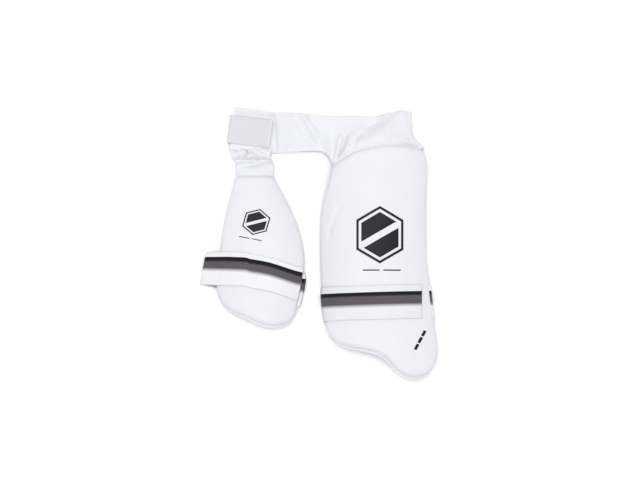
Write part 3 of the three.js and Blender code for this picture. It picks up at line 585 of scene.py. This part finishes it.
def strap_path(pad, drop, front_line, back_line, end, slack, share, counts):
    """The strap's path at a share of its width, round the hull of the pad's section."""
    reach = STRAP_GAP + STRAP_THICKNESS / 2
    rough = np.linspace(pad.left, pad.left + pad.width, 260)
    y = strap_y(pad, drop, front_line, rough, share)
    low, high = pad.crossing(1, y)
    face = pad.front(np.clip(rough, low, high), y)
    discs = [(p[0], p[2], 0.0) for p in face]
    for side, out in ((0, -RIM_WIDTH), (1, RIM_WIDTH)):
        for line in (front_line, back_line):
            y = strap_y(pad, drop, line, pad.left + side * pad.width, share)
            x = pad.crossing(1, y)[side][0] + out
            discs.append((x, pad.point(x, y, 0.0)[..., 2].item(), 0.0))
            discs.append((x, STRAP_THICKNESS / 2 + reach, 0.0))
    discs += [(x - share * slant, SLACK_HEIGHT, SLACK_RADIUS) for x, slant in slack]
    discs = np.array(discs)
    angles = np.linspace(STRAP_START, end[0] + end[1] * (share + 0.5), 180)
    out = np.stack([np.cos(angles), np.sin(angles)], 1)
    best = (discs[:, :2] @ out.T + discs[:, 2:]).argmax(0)
    stops = discs[best, :2] + out * (discs[best, 2:] + reach)
    over = np.linspace(math.pi / 2, STRAP_START, 12, endpoint=False)
    rim_top = discs[best[0], :2] + np.stack([np.cos(over), np.sin(over)], 1) * reach
    sewn_end = rim_top[0] - (RIM_WIDTH - STRAP_THICKNESS / 2 - 0.3, 0)
    stops = np.concatenate([[sewn_end], rim_top, stops])
    angles = np.concatenate([[STRAP_START] * 13, angles])
    x, z = stops[:, 0], np.maximum(stops[:, 1], STRAP_THICKNESS / 2)
    climb = smoothstep(z, PAD_LIFT, PAD_LIFT + pad.thickness)
    behind = np.where(angles > -math.pi / 2, 1, 1 - climb)
    y = mix(
        strap_y(pad, drop, front_line, x, share),
        strap_y(pad, drop, back_line, x, share),
        behind,
    )
    stops = np.stack([x, y, z], 1)
    if counts is None:
        return np.ceil(np.linalg.norm(np.diff(stops, axis=0), axis=1) / 2.5).clip(1).astype(int)
    points = [stops[:1]]
    for k, count in enumerate(counts):
        shares = np.arange(1, count + 1)[:, None] / count
        points.append(mix(stops[k], stops[k + 1], shares))
    return np.concatenate(points)


def strap(name, pad, drop, front_line, back_line, end, slack, columns=36):
    """Elastic band with its grid, so that stitches can be laid on it."""
    facts = (pad, drop, front_line, back_line, end, slack)
    counts = strap_path(*facts, 0.0, None)
    lines = [strap_path(*facts, s, counts) for s in np.linspace(-0.5, 0.5, columns)]
    grid = np.stack(lines, 1)
    wave = np.array([noise.noise(Vector((p[0] / 30, p[1] / 30, 2.0))) for p in grid[:, -1]])
    low_edge = np.linspace(0, 1, columns)[None, :] ** 6 * wave[:, None] * 0.8
    grid[..., 1] += low_edge
    grid = pad.pressed(grid)
    return sheet(name, grid, STRAP_THICKNESS, 0.05), grid


def belt_grid(pad, rows=330, columns=90):
    """The belt's front layer, its fold and its back layer, from bottom edge to top edge."""
    corner_x = BELT_BOTTOM_EDGE[-1][0] * BELT_LENGTH

    def front(x, up):
        share = x / BELT_LENGTH
        plain = BELT_FRONT_Z + read_table(BELT_HEIGHT, 1, share) * (BELT_LOFT - BELT_FRONT_Z)
        seat_x = np.maximum(x, corner_x)
        edge = pad.crossing(0, seat_x)[1]
        seat = pad.point(seat_x, edge + BELT_THICKNESS, SEWN_GAP + BELT_THICKNESS)
        sewn = x >= corner_x
        near = smoothstep(x, corner_x - BELT_WIDTH * 0.3, corner_x)
        free_y = -BELT_WIDTH * (1 - read_table(BELT_BOTTOM_EDGE, 1, share))
        bottom_x = np.where(sewn, seat[:, 0], x)
        bottom_y = np.where(sewn, seat[:, 1], free_y)
        bottom_z = np.where(sewn, seat[:, 2], mix(plain, seat[:, 2], near))
        top = BELT_WIDTH * read_table(BELT_TOP_EDGE, 1, share)
        y = mix(bottom_y, top, up)
        size = (BELT_LENGTH, BELT_WIDTH, BELT_WIDTH)
        folds = fold_height(BELT_FOLDS, x, y + BELT_WIDTH, *size)
        calm = np.where(sewn, smoothstep(up, 0, 0.2), 1)
        free = smoothstep(x, BELT_LENGTH * 0.25, BELT_LENGTH * 0.34)
        ripple = np.array([noise.noise(Vector((a / 26, b / 13, 4.0))) for a, b in zip(x, y)])
        z = mix(plain, bottom_z, 1 - smoothstep(up, 0, 1))
        z = z + folds * BELT_LOFT * calm + ripple * 1.1 * calm * free
        return np.stack([mix(bottom_x, x, smoothstep(up, 0, 0.3)), y, z], 1)

    lines = []
    for up in np.linspace(0, 1, columns):
        fold_x = BELT_LENGTH * float(read_table(BELT_FOLD_LINE, 1, up))
        end_x = fold_x
        for _ in range(8):
            end_x = fold_x - (front(np.array([end_x]), up)[0, 2] - BELT_BACK_Z) / 2
        face = front(np.linspace(0, end_x, rows), up)
        end = face[-1]
        radius = (end[2] - BELT_BACK_Z) / 2
        turn = np.linspace(0, math.pi, 14)[1:-1]
        fold_out = end[0] + radius * np.sin(turn)
        fold_z = BELT_BACK_Z + radius * (1 + np.cos(turn))
        fold = np.stack([fold_out, np.full_like(turn, end[1]), fold_z], 1)
        share = np.linspace(0, 1, 70)
        x = mix(end[0], BELT_BACK_START, share)
        top = BELT_WIDTH * read_table(BELT_TOP_EDGE, 1, x / BELT_LENGTH) - BELT_BACK_TUCK
        y = mix(end[1], mix(BELT_BACK_TUCK - BELT_WIDTH, top, up), smoothstep(share, 0, 0.3))
        back = np.stack([x, y, np.full_like(x, BELT_BACK_Z)], 1)
        lines.append(np.concatenate([face, fold, back]))
    return np.stack(lines, 1)


def hanger_grid(pad, rows=170, columns=110):
    """Gathered cloth from the inner pad's rim to its end between the belt and the tab."""
    end = -TAB_DROP + TAB_WIDTH * 0.36
    j = np.linspace(0, 1, columns)
    grid = []
    for up in np.linspace(0, 1, rows):
        left, right, height = (float(read_table(HANGER_SECTIONS, k, up)) for k in (1, 2, 3))
        across = mix(left, right, j)
        x = HANGER_CENTRE + across * HANGER_WIDTH
        seat_y = pad.crossing(0, HANGER_CENTRE + mix(-0.49, 0.49, j) * HANGER_WIDTH)[1]
        seat = pad.point(x, seat_y + HANGER_THICKNESS, SEWN_GAP + HANGER_THICKNESS)
        length = end - seat[:, 1]
        size = (HANGER_WIDTH, length.mean(), HANGER_WIDTH)
        spot = (across * HANGER_WIDTH, up * length.mean())
        slit = float(1 - smoothstep(up, 0.44, 0.47))
        gather = fold_height(HANGER_FOLDS, *spot, *size)
        gather = gather + fold_height(HANGER_SLIT, *spot, *size) * slit
        sewn = float(1 - smoothstep(up, 0, 0.2))
        rounding = 1 - 0.35 * (2 * j - 1) ** 2
        z = HANGER_Z + HANGER_PUFF * (max(height, 0) * rounding + gather * (1 - sewn))
        grid.append(np.stack([x, mix(seat[:, 1], end, up), mix(z, seat[:, 2], sewn)], 1))
    return np.stack(grid)


def tab_grid(columns=40):
    """The tab folded round the belt's left end, from its back end to its front end."""
    radius = (TAB_FRONT_Z - TAB_BACK_Z) / 2
    turn = np.linspace(0, math.pi, 26)
    x = np.r_[np.linspace(TAB_BACK_LENGTH, radius, 24)[:-1], radius * (1 - np.sin(turn))]
    z = np.r_[np.full(23, TAB_BACK_Z), TAB_BACK_Z + radius * (1 - np.cos(turn))]
    x = np.r_[x, np.linspace(radius, TAB_LENGTH, 60)[1:]]
    z = np.r_[z, np.full(59, TAB_FRONT_Z)]
    z = z + TAB_CURL * smoothstep(x, TAB_LENGTH * 0.6, TAB_LENGTH) ** 2 * (z > TAB_BACK_Z + radius)
    across = np.linspace(-0.5, 0.5, columns) * TAB_WIDTH
    grid = np.empty((len(x), columns, 3))
    cos, sin = math.cos(TAB_TURN), math.sin(TAB_TURN)
    grid[..., 0] = -TAB_OVERHANG + cos * x[:, None] - sin * across[None]
    grid[..., 1] = -TAB_DROP + sin * x[:, None] + cos * across[None]
    grid[..., 2] = z[:, None]
    return grid


def on_grid(grid, rows, column, lift):
    """Line on the upper side of a sheet's grid, with the sheet's normals, between two rows."""
    normals = grid_normals(grid)
    up = np.sign(normals[int(rows[0]), int(column), 2]) or 1.0
    steps = np.linspace(rows[0], rows[1], int(abs(rows[1] - rows[0])) * 2 + 2)
    points, outs = [], []
    for r in steps:
        i, j = int(r), int(column)
        a, b = r - i, column - j
        i2, j2 = min(i + 1, grid.shape[0] - 1), min(j + 1, grid.shape[1] - 1)
        points.append(mix(mix(grid[i, j], grid[i2, j], a), mix(grid[i, j2], grid[i2, j2], a), b))
        outs.append(normals[i, j] * up)
    return np.array(points) + np.array(outs) * lift, np.array(outs)


def across_grid(grid, row, columns, lift):
    turned = grid.transpose(1, 0, 2)
    return on_grid(turned, columns, row, lift)


def stitches(name, lines, pitch=3.0, length=2.1, radius=0.28):
    """Thread: small rounded stitches along each line of points with their normals."""
    points, faces = [], []
    for path, outs in lines:
        steps = np.linalg.norm(np.diff(path, axis=0), axis=1)
        along = np.concatenate([[0], np.cumsum(steps)])
        for start in np.arange(0.4, along[-1] - length, pitch):
            at = start + np.array([0.0, 0.25, 0.75, 1.0]) * length
            centre = np.stack([np.interp(at, along, path[:, k]) for k in range(3)], 1)
            out = np.stack([np.interp(at, along, outs[:, k]) for k in range(3)], 1)
            run = centre[-1] - centre[0]
            run /= np.linalg.norm(run)
            side = np.cross(out[1], run)
            side /= np.linalg.norm(side)
            base = len(points)
            for c, o, size, sink in zip(centre, out, (0.45, 1, 1, 0.45), (0.6, 0, 0, 0.6)):
                for turn in np.arange(6) * math.pi / 3:
                    spread = math.cos(turn) * side + math.sin(turn) * o
                    points.append(c + (spread * size - o * sink) * radius)
            for k in range(3):
                for s in range(6):
                    a, b = base + k * 6 + s, base + k * 6 + (s + 1) % 6
                    faces.append((a, b, b + 6, a + 6))
            faces.append([base + s for s in range(6)][::-1])
            faces.append([base + 18 + s for s in range(6)])
    return new_object(name, points, faces)


def lining_line(pad):
    """Line on the underside of a pad's lining, all round inside its rim, with its normals."""
    ring = closed_curve(pad.ring(pad.fine_edge[::10], LINING_SEAM_INSET), 1600)
    ring = np.concatenate([ring, ring[:1]])
    under = -SEWN_GAP / 2 - BACKING_THICKNESS
    outs = pad.point(ring[:, 0], ring[:, 1], under - 1) - pad.point(ring[:, 0], ring[:, 1], under)
    return pad.pressed(pad.point(ring[:, 0], ring[:, 1], under - 0.05)), outs


def printed(name, pad, patches, centre, turn, size, steps=(40, 14)):
    """Thin print on a pad's front. Each patch lies between two lines of (across, up) points,
    in shares of a half size about the centre, turned about it."""
    cos, sin = math.cos(turn), math.sin(turn)
    points, faces = [], []
    for low, high in patches:
        low = spaced(np.asarray(low, float), steps[0])
        high = spaced(np.asarray(high, float), steps[0])
        shares = np.linspace(0, 1, steps[1])[None, :, None]
        flat = mix(low[:, None], high[:, None], shares) * np.array(size)
        x = centre[0] + cos * flat[..., 0] - sin * flat[..., 1]
        y = centre[1] + sin * flat[..., 0] + cos * flat[..., 1]
        wave = pad.waves(pad.front(x, y))
        base = len(points)
        for lift in (0.16, 0.02):
            layer = pad.front(x, y, lift)
            layer[..., 2] += wave
            points += layer.reshape(-1, 3).tolist()
        faces += [[base + i for i in f] for f in sheet_faces(*x.shape)]
    return new_object(name, points, faces)


def badge_patches():
    """A six-sided ring round a six-sided patch that a plain slanted band divides."""
    corners = [(0, 1), (0.86, 0.52), (0.86, -0.52), (0, -1), (-0.86, -0.52), (-0.86, 0.52)]
    corners = np.array(corners, float)
    patches = []
    for k in range(6):
        a, b = corners[k], corners[(k + 1) % 6]
        patches.append(([a * 0.9, b * 0.9], [a, b]))
    inner = corners * 0.79

    def roof(x):
        return np.interp(np.abs(x), [0, inner[1][0]], [inner[0][1], inner[1][1]])

    def slant(x, rise):
        return np.clip(0.55 * x + rise, -roof(x), roof(x))

    x = np.linspace(-inner[1][0], inner[1][0], 61)
    upper_low = np.stack([x, slant(x, 0.13)], 1)
    upper_high = np.stack([x, roof(x)], 1)
    lower_high = np.stack([x, slant(x, -0.13)], 1)
    lower_low = np.stack([x, -roof(x)], 1)
    return [*patches, (upper_low, upper_high), (lower_low, lower_high)]


def bar_patches(spans, height):
    """Plain bars side by side, each between two places along a line."""
    return [([(a, -height), (b, -height)], [(a, height), (b, height)]) for a, b in spans]


def seam_cord(name, pad, low, high, radius=1.0, sides=12):
    """Rolled overlock seam that fills the joint between a pad's top edge and the cloth on it."""
    x = np.linspace(low, high, 240)
    edge = pad.crossing(0, x)[1]
    path = spaced(pad.point(x, edge + 0.7, 2.4), 200)
    run = np.gradient(path, axis=0)
    run /= np.linalg.norm(run, axis=1, keepdims=True)
    side = np.cross(run, (0.0, 0.0, 1.0))
    side /= np.linalg.norm(side, axis=1, keepdims=True)
    up = np.cross(side, run)
    rings = []
    for k, place in enumerate(path):
        size = radius * min(1.0, 0.35 + 0.2 * min(k, len(path) - 1 - k)) * (1 + 0.06 * math.sin(k * 1.6))
        turn = np.linspace(0, 2 * math.pi, sides, endpoint=False)[:, None]
        rings.append(place + (np.cos(turn) * side[k] + np.sin(turn) * up[k]) * size)
    return ring_body(name, path[0], rings, path[-1])


class Nodes:
    """Short way to build a material's nodes."""

    def __init__(self, name):
        self.material = bpy.data.materials.new(name)
        self.material.use_nodes = True
        self.tree = self.material.node_tree
        self.shader = self.tree.nodes["Principled BSDF"]

    def add(self, kind, **settings):
        node = self.tree.nodes.new(kind)
        for key, value in settings.items():
            setattr(node, key, value)
        return node

    def link(self, a, b):
        self.tree.links.new(a, b)

    def place(self, kind):
        return self.add("ShaderNodeTexCoord").outputs[kind]

    def paint(self, colour):
        self.link(colour, self.shader.inputs["Base Color"])

    def math(self, operation, a, b=None):
        node = self.add("ShaderNodeMath", operation=operation)
        for socket, value in zip(node.inputs, (a, b)):
            if value is None:
                continue
            if isinstance(value, (int, float)):
                socket.default_value = value
            else:
                self.link(value, socket)
        return node.outputs[0]

    def noise(self, vector, scale, detail=2.0):
        node = self.add("ShaderNodeTexNoise")
        node.inputs["Scale"].default_value = scale
        node.inputs["Detail"].default_value = detail
        self.link(vector, node.inputs["Vector"])
        return node.outputs["Fac"]

    def wave(self, vector, direction, scale, distortion=0.0):
        node = self.add("ShaderNodeTexWave", bands_direction=direction)
        node.inputs["Scale"].default_value = scale
        node.inputs["Distortion"].default_value = distortion
        node.inputs["Detail Scale"].default_value = 1.2
        self.link(vector, node.inputs["Vector"])
        return node.outputs["Fac"]

    def between(self, factor, a, b):
        """Colour between two, by a factor."""
        node = self.add("ShaderNodeMix", data_type="RGBA")
        self.link(factor, node.inputs["Factor"])
        for socket, value in ((node.inputs["A"], a), (node.inputs["B"], b)):
            if isinstance(value, tuple):
                socket.default_value = (*value, 1.0)
            else:
                self.link(value, socket)
        return node.outputs["Result"]

    def bump(self, height, strength, distance):
        node = self.add("ShaderNodeBump")
        node.inputs["Strength"].default_value = strength
        node.inputs["Distance"].default_value = distance
        self.link(height, node.inputs["Height"])
        self.link(node.outputs["Normal"], self.shader.inputs["Normal"])

    def finish(self, roughness, sheen):
        self.shader.inputs["Roughness"].default_value = roughness
        self.shader.inputs["Sheen Weight"].default_value = sheen
        self.shader.inputs["Sheen Roughness"].default_value = 0.5
        self.shader.inputs["Specular IOR Level"].default_value = 0.25
        return self.material


def wave_scale(pitch):
    """Scale of a wave texture whose bands lie this many millimetres apart."""
    return math.pi / 10 / (pitch * MM)


def shade(colour, factor):
    return tuple(c * factor for c in colour)


def knit(name, colour, pitch, depth, roughness, sheen, fuzz=0.0):
    """Stretch knit: fine wales and courses, with faint cloudy variation in its colour."""
    n = Nodes(name)
    place = n.place("Object")
    cloud = n.noise(place, 28.0, 3.0)
    speck = n.noise(place, 900.0, 2.0)
    wales = n.wave(place, "X", wave_scale(pitch), 0.4)
    courses = n.wave(place, "Y", wave_scale(pitch * 1.25), 0.4)
    weave = n.math("MULTIPLY", wales, courses)
    tone = n.math("ADD", n.math("MULTIPLY", cloud, 0.55), n.math("MULTIPLY", speck, 0.25))
    tone = n.math("ADD", tone, n.math("MULTIPLY", weave, 0.2))
    n.paint(n.between(tone, shade(colour, 0.93), shade(colour, 1.06)))
    height = n.math("ADD", weave, n.math("MULTIPLY", speck, 0.4 + fuzz))
    n.bump(height, 0.35, depth * MM)
    return n.finish(roughness, sheen)


def elastic_cloth(name, white, stripes):
    """Woven elastic: ribs along and across, a black line and a grey band along it."""
    n = Nodes(name)
    uv = n.place("UV")
    split = n.add("ShaderNodeSeparateXYZ")
    n.link(uv, split.inputs[0])
    speck = n.noise(uv, 1400.0, 2.0)
    worn = n.noise(uv, 60.0, 3.0)
    wobble = n.math("MULTIPLY", n.math("SUBTRACT", speck, 0.5), 0.012)
    place = n.math("DIVIDE", split.outputs["Y"], STRAP_WIDTH * MM)
    ramp = n.add("ShaderNodeValToRGB")
    n.link(n.math("ADD", place, wobble), ramp.inputs["Fac"])
    line, line_end, band, band_end, plain = stripes
    stops = (
        (0.0, white), (line - 0.008, white), (line, INK), (line_end, INK),
        (band, BAND_GREY), (band_end, BAND_GREY), (plain, white),
    )
    bar = ramp.color_ramp
    while len(bar.elements) < len(stops):
        bar.elements.new(0.5)
    for element, (at, colour) in zip(bar.elements, stops):
        element.position = at
        element.color = (*colour, 1.0)
    ribs = n.wave(uv, "Y", wave_scale(1.1))
    picks = n.wave(uv, "X", wave_scale(0.8))
    weave = n.math("MULTIPLY", ribs, n.math("ADD", n.math("MULTIPLY", picks, 0.6), 0.4))
    tone = n.math("ADD", n.math("MULTIPLY", weave, 0.5), n.math("MULTIPLY", worn, 0.5))
    dark = n.between(tone, (0.88, 0.88, 0.88), (1.08, 1.08, 1.08))
    mixed = n.add("ShaderNodeMix", data_type="RGBA", blend_type="MULTIPLY")
    mixed.inputs["Factor"].default_value = 1.0
    n.link(ramp.outputs["Color"], mixed.inputs["A"])
    n.link(dark, mixed.inputs["B"])
    n.paint(mixed.outputs["Result"])
    n.bump(n.math("ADD", weave, n.math("MULTIPLY", speck, 0.3)), 0.5, 0.25 * MM)
    return n.finish(0.8, 0.03)


def tab_cloth(name):
    """Loop tape: short fuzzy pile over a woven ground, with a lighter selvedge colour at its end."""
    n = Nodes(name)
    place = n.place("Object")
    pile = n.noise(place, 1600.0, 4.0)
    tuft = n.noise(place, 420.0, 3.0)
    cloud = n.noise(place, 45.0, 2.0)
    tone = n.math("ADD", n.math("MULTIPLY", tuft, 0.6), n.math("MULTIPLY", cloud, 0.4))
    split = n.add("ShaderNodeSeparateXYZ")
    n.link(n.place("UV"), split.inputs[0])
    bare = n.math("GREATER_THAN", split.outputs["X"], TAB_SELVEDGE_START * MM)
    pile_colour = n.between(tone, shade(TAB_GREY, 0.92), shade(TAB_GREY, 1.07))
    n.paint(n.between(bare, pile_colour, TAB_SELVEDGE))
    n.bump(n.math("ADD", pile, n.math("MULTIPLY", tuft, 1.3)), 0.6, 0.4 * MM)
    return n.finish(0.9, 0.4)


def ink(name):
    """Printed ink that lets the knit show faintly."""
    n = Nodes(name)
    place = n.place("Object")
    speck = n.noise(place, 1100.0, 2.0)
    n.paint(n.between(speck, shade(INK, 0.8), shade(INK, 1.9)))
    n.bump(n.wave(place, "X", wave_scale(0.8)), 0.25, 0.1 * MM)
    return n.finish(0.55, 0.0)


def thread_cloth(name, colour):
    n = Nodes(name)
    place = n.place("Object")
    twist = n.wave(place, "DIAGONAL", wave_scale(0.5))
    n.paint(n.between(twist, shade(colour, 0.9), colour))
    n.bump(twist, 0.4, 0.1 * MM)
    return n.finish(0.6, 0.2)


def floor_paper(name):
    n = Nodes(name)
    place = n.place("Object")
    grain = n.noise(place, 300.0, 3.0)
    n.paint(n.between(grain, (0.93, 0.93, 0.935), (0.96, 0.96, 0.965)))
    n.bump(grain, 0.05, 0.1 * MM)
    return n.finish(0.9, 0.0)


def dress(piece, material, stands_for=()):
    piece.data.materials.append(material)
    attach(piece, "root")
    if stands_for:
        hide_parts(*stands_for)
    return piece


def make_camera():
    data = bpy.data.cameras.new("camera")
    data.lens = CAMERA_LENS
    data.sensor_width = SENSOR_WIDTH
    camera = add_object("camera", data)
    target = Vector(VIEW_CENTRE) * MM
    back = Vector((0, -math.cos(CAMERA_ELEVATION), math.sin(CAMERA_ELEVATION)))
    distance = VIEW_WIDTH * MM / SENSOR_WIDTH * CAMERA_LENS
    camera.location = target + back * distance
    camera.rotation_mode = "QUATERNION"
    camera.rotation_quaternion = (-back).to_track_quat("-Z", "Y")
    bpy.context.scene.camera = camera


def make_light():
    scene = bpy.context.scene
    scene.view_settings.view_transform = "Standard"
    scene.view_settings.look = "None"
    world = bpy.data.worlds.new("studio")
    world.use_nodes = True
    background = world.node_tree.nodes["Background"]
    background.inputs[0].default_value = WORLD_COLOUR
    background.inputs[1].default_value = WORLD_STRENGTH
    scene.world = world
    for name, place, size, power in LAMPS:
        data = bpy.data.lights.new(name, "AREA")
        data.shape = "SQUARE"
        data.size = size
        data.energy = power
        lamp = add_object(name, data)
        lamp.location = place
        lamp.rotation_mode = "QUATERNION"
        lamp.rotation_quaternion = (-Vector(place)).to_track_quat("-Z", "Y")


def make_floor():
    mesh = bpy.data.meshes.new("floor")
    corners = [(x * FLOOR_HALF, y * FLOOR_HALF) for x, y in ((-1, -1), (1, -1), (1, 1), (-1, 1))]
    mesh.from_pydata([(x, y, -FLOOR_DEPTH) for x, y in corners], [], [(0, 1, 2, 3)])
    mesh.materials.append(floor_paper("floor_paper"))
    add_object("floor", mesh)


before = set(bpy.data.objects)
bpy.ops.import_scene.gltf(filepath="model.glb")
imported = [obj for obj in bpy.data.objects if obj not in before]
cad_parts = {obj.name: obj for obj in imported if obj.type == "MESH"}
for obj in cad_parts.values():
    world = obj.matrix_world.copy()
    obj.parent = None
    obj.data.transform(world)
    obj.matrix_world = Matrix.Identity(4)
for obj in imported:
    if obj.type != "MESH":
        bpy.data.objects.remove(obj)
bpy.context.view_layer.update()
belt_low, belt_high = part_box("waist_belt")
# The layout starts at the belt's left end, below its top corner by that corner's lift.
ORIGIN = np.array([belt_low.x / MM, belt_high.y / MM - BELT_CORNER_LIFT * BELT_WIDTH, 0.0])
make_camera()
make_light()
make_floor()

outer = Pad(
    BELT_LENGTH + BELT_CORNER_FLARE - OUTER_PAD_CORNER * OUTER_PAD_WIDTH,
    BELT_SEAM_OVERLAP - BELT_WIDTH,
    (OUTER_PAD_WIDTH, OUTER_PAD_LENGTH, OUTER_PAD_RISE, OUTER_PAD_THICKNESS),
    OUTER_PAD_OUTLINE,
    OUTER_PAD_ARCH,
    OUTER_PAD_MIDDLE,
    OUTER_PAD_DENTS,
    OUTER_PAD_PRESS,
)
inner = Pad(
    HANGER_CENTRE - INNER_PAD_TOP * INNER_PAD_WIDTH,
    -BELT_WIDTH - HANGER_DROP,
    (INNER_PAD_WIDTH, INNER_PAD_LENGTH, INNER_PAD_RISE, INNER_PAD_THICKNESS),
    INNER_PAD_OUTLINE,
    INNER_PAD_ARCH,
    INNER_PAD_MIDDLE,
    INNER_PAD_DENTS,
)

cover = knit("pad_cover", WHITE_COVER, 0.9, 0.22, 0.7, 0.3)
belt_knit = knit("belt_knit", WHITE_BELT, 0.8, 0.25, 0.72, 0.35)
lining = knit("lining", LINING, 1.3, 0.3, 0.85, 0.35, 0.5)
wide_elastic = elastic_cloth("wide_striped_elastic", WIDE_ELASTIC, OUTER_STRIPES)
slim_elastic = elastic_cloth("slim_striped_elastic", WHITE_ELASTIC, INNER_STRIPES)
# Painted shade for the inner side of the strap loops
painted_loop_shade = elastic_cloth("painted_loop_shade", PAINTED_LOOP_SHADE, OUTER_STRIPES)
thread = thread_cloth("thread", THREAD)
grey_thread = thread_cloth("grey_thread", GREY_THREAD)
print_ink = ink("print_ink")

outer_front = dress(
    pad_front("outer_pad_front", outer, 320, 60), cover, ["outer_pad"]
)
outer_lining = dress(
    pad_backing("outer_pad_lining", outer, 320, 44), lining, ["outer_backing"]
)
inner_front = dress(
    pad_front("inner_pad_front", inner, 260, 46), cover, ["inner_pad"]
)
inner_lining = dress(
    pad_backing("inner_pad_lining", inner, 260, 34), lining, ["inner_backing"]
)

outer_band, outer_band_grid = strap(
    "outer_leg_strap", outer, OUTER_STRAP_DROP, OUTER_STRAP_LINE, OUTER_STRAP_LINE,
    OUTER_STRAP_END, [],
)
inner_band, inner_band_grid = strap(
    "inner_leg_strap", inner, INNER_STRAP_DROP, INNER_STRAP_FRONT, INNER_STRAP_BACK,
    INNER_STRAP_END, [(inner.left - INNER_STRAP_SLACK, INNER_STRAP_SLANT)],
)
dress(outer_band, wide_elastic, ["outer_strap"])
dress(inner_band, slim_elastic, ["inner_strap"])
# Painted shade on the side of each strap loop that faces the leg
paint_loop_shade(outer_band, outer_band_grid, painted_loop_shade)
paint_loop_shade(inner_band, inner_band_grid, painted_loop_shade)

belt_points = belt_grid(outer)
hanger_points = hanger_grid(inner)
tab_points = tab_grid()
belt = dress(
    sheet("stretch_belt", belt_points, BELT_THICKNESS, 0.05), belt_knit, ["waist_belt"]
)
hanger = dress(
    sheet("gathered_hanger", hanger_points, HANGER_THICKNESS, 0.05),
    belt_knit, ["inner_hanger"],
)
tab = dress(
    sheet("loop_tab", tab_points, TAB_THICKNESS, 0.05), tab_cloth("loop_tape"), ["belt_tab"]
)

belt_corner = BELT_BOTTOM_EDGE[-1][0] * BELT_LENGTH
dress(
    seam_cord("belt_seam", outer, belt_corner + 0.5, BELT_LENGTH + BELT_CORNER_FLARE - 2.0),
    belt_knit,
)
dress(
    seam_cord(
        "hanger_seam", inner, HANGER_CENTRE - 0.48 * HANGER_WIDTH, HANGER_CENTRE + 0.48 * HANGER_WIDTH
    ),
    belt_knit,
)

badge = badge_patches()
prints = (
    ("outer_badge", outer, badge, OUTER_BADGE_AT, 0.0, OUTER_BADGE_SIZE),
    ("inner_badge", inner, badge, INNER_BADGE_AT, INNER_BADGE_TURN, INNER_BADGE_SIZE),
    ("outer_rule", outer, bar_patches(OUTER_RULE, 0.9), OUTER_RULE_AT, 0.0, (1, 1)),
    ("inner_rule", inner, bar_patches(INNER_RULE, 0.6), INNER_RULE_AT, INNER_RULE_TURN, (1, 1)),
    ("lobe_bars", outer, bar_patches(LOBE_BARS, 2.0), LOBE_BARS_AT, LOBE_BARS_TURN, (1, 1)),
)
for facts in prints:
    dress(printed(*facts), print_ink)

dress(stitches("lining_thread", [lining_line(outer), lining_line(inner)]), thread)
lift = BELT_THICKNESS / 2 + THREAD_LIFT
belt_lines = [
    on_grid(belt_points, BELT_SEAM_ROWS, 3.0, lift),
    on_grid(belt_points, BELT_SEAM_ROWS, 7.0, lift),
    on_grid(belt_points, BELT_HEM_ROWS, 82.5, lift),
]
dress(stitches("belt_thread", belt_lines), thread)
corner_lines = [on_grid(belt_points, BELT_CORNER_ROWS, column, lift) for column in (1.5, 5.0)]
dress(stitches("corner_thread", corner_lines), grey_thread)
hanger_line = across_grid(hanger_points, 8, (1, 108), HANGER_THICKNESS / 2 + THREAD_LIFT)
dress(stitches("hanger_thread", [hanger_line]), thread)
lift = TAB_THICKNESS / 2 + THREAD_LIFT
tab_lines = [
    on_grid(tab_points, TAB_EDGE_ROWS, 2.5, lift),
    on_grid(tab_points, TAB_EDGE_ROWS, 36.5, lift),
    across_grid(tab_points, TAB_EDGE_ROWS[1], (3, 36), lift),
]
dress(stitches("tab_thread", tab_lines), thread)
lift = STRAP_THICKNESS / 2 + THREAD_LIFT
strap_lines = []
for grid in (outer_band_grid, inner_band_grid):
    row = len(grid) - 3
    strap_lines.append(across_grid(grid, row, (1, 6), lift))
    strap_lines.append(across_grid(grid, row, (22, 34), lift))
dress(stitches("strap_thread", strap_lines), thread)
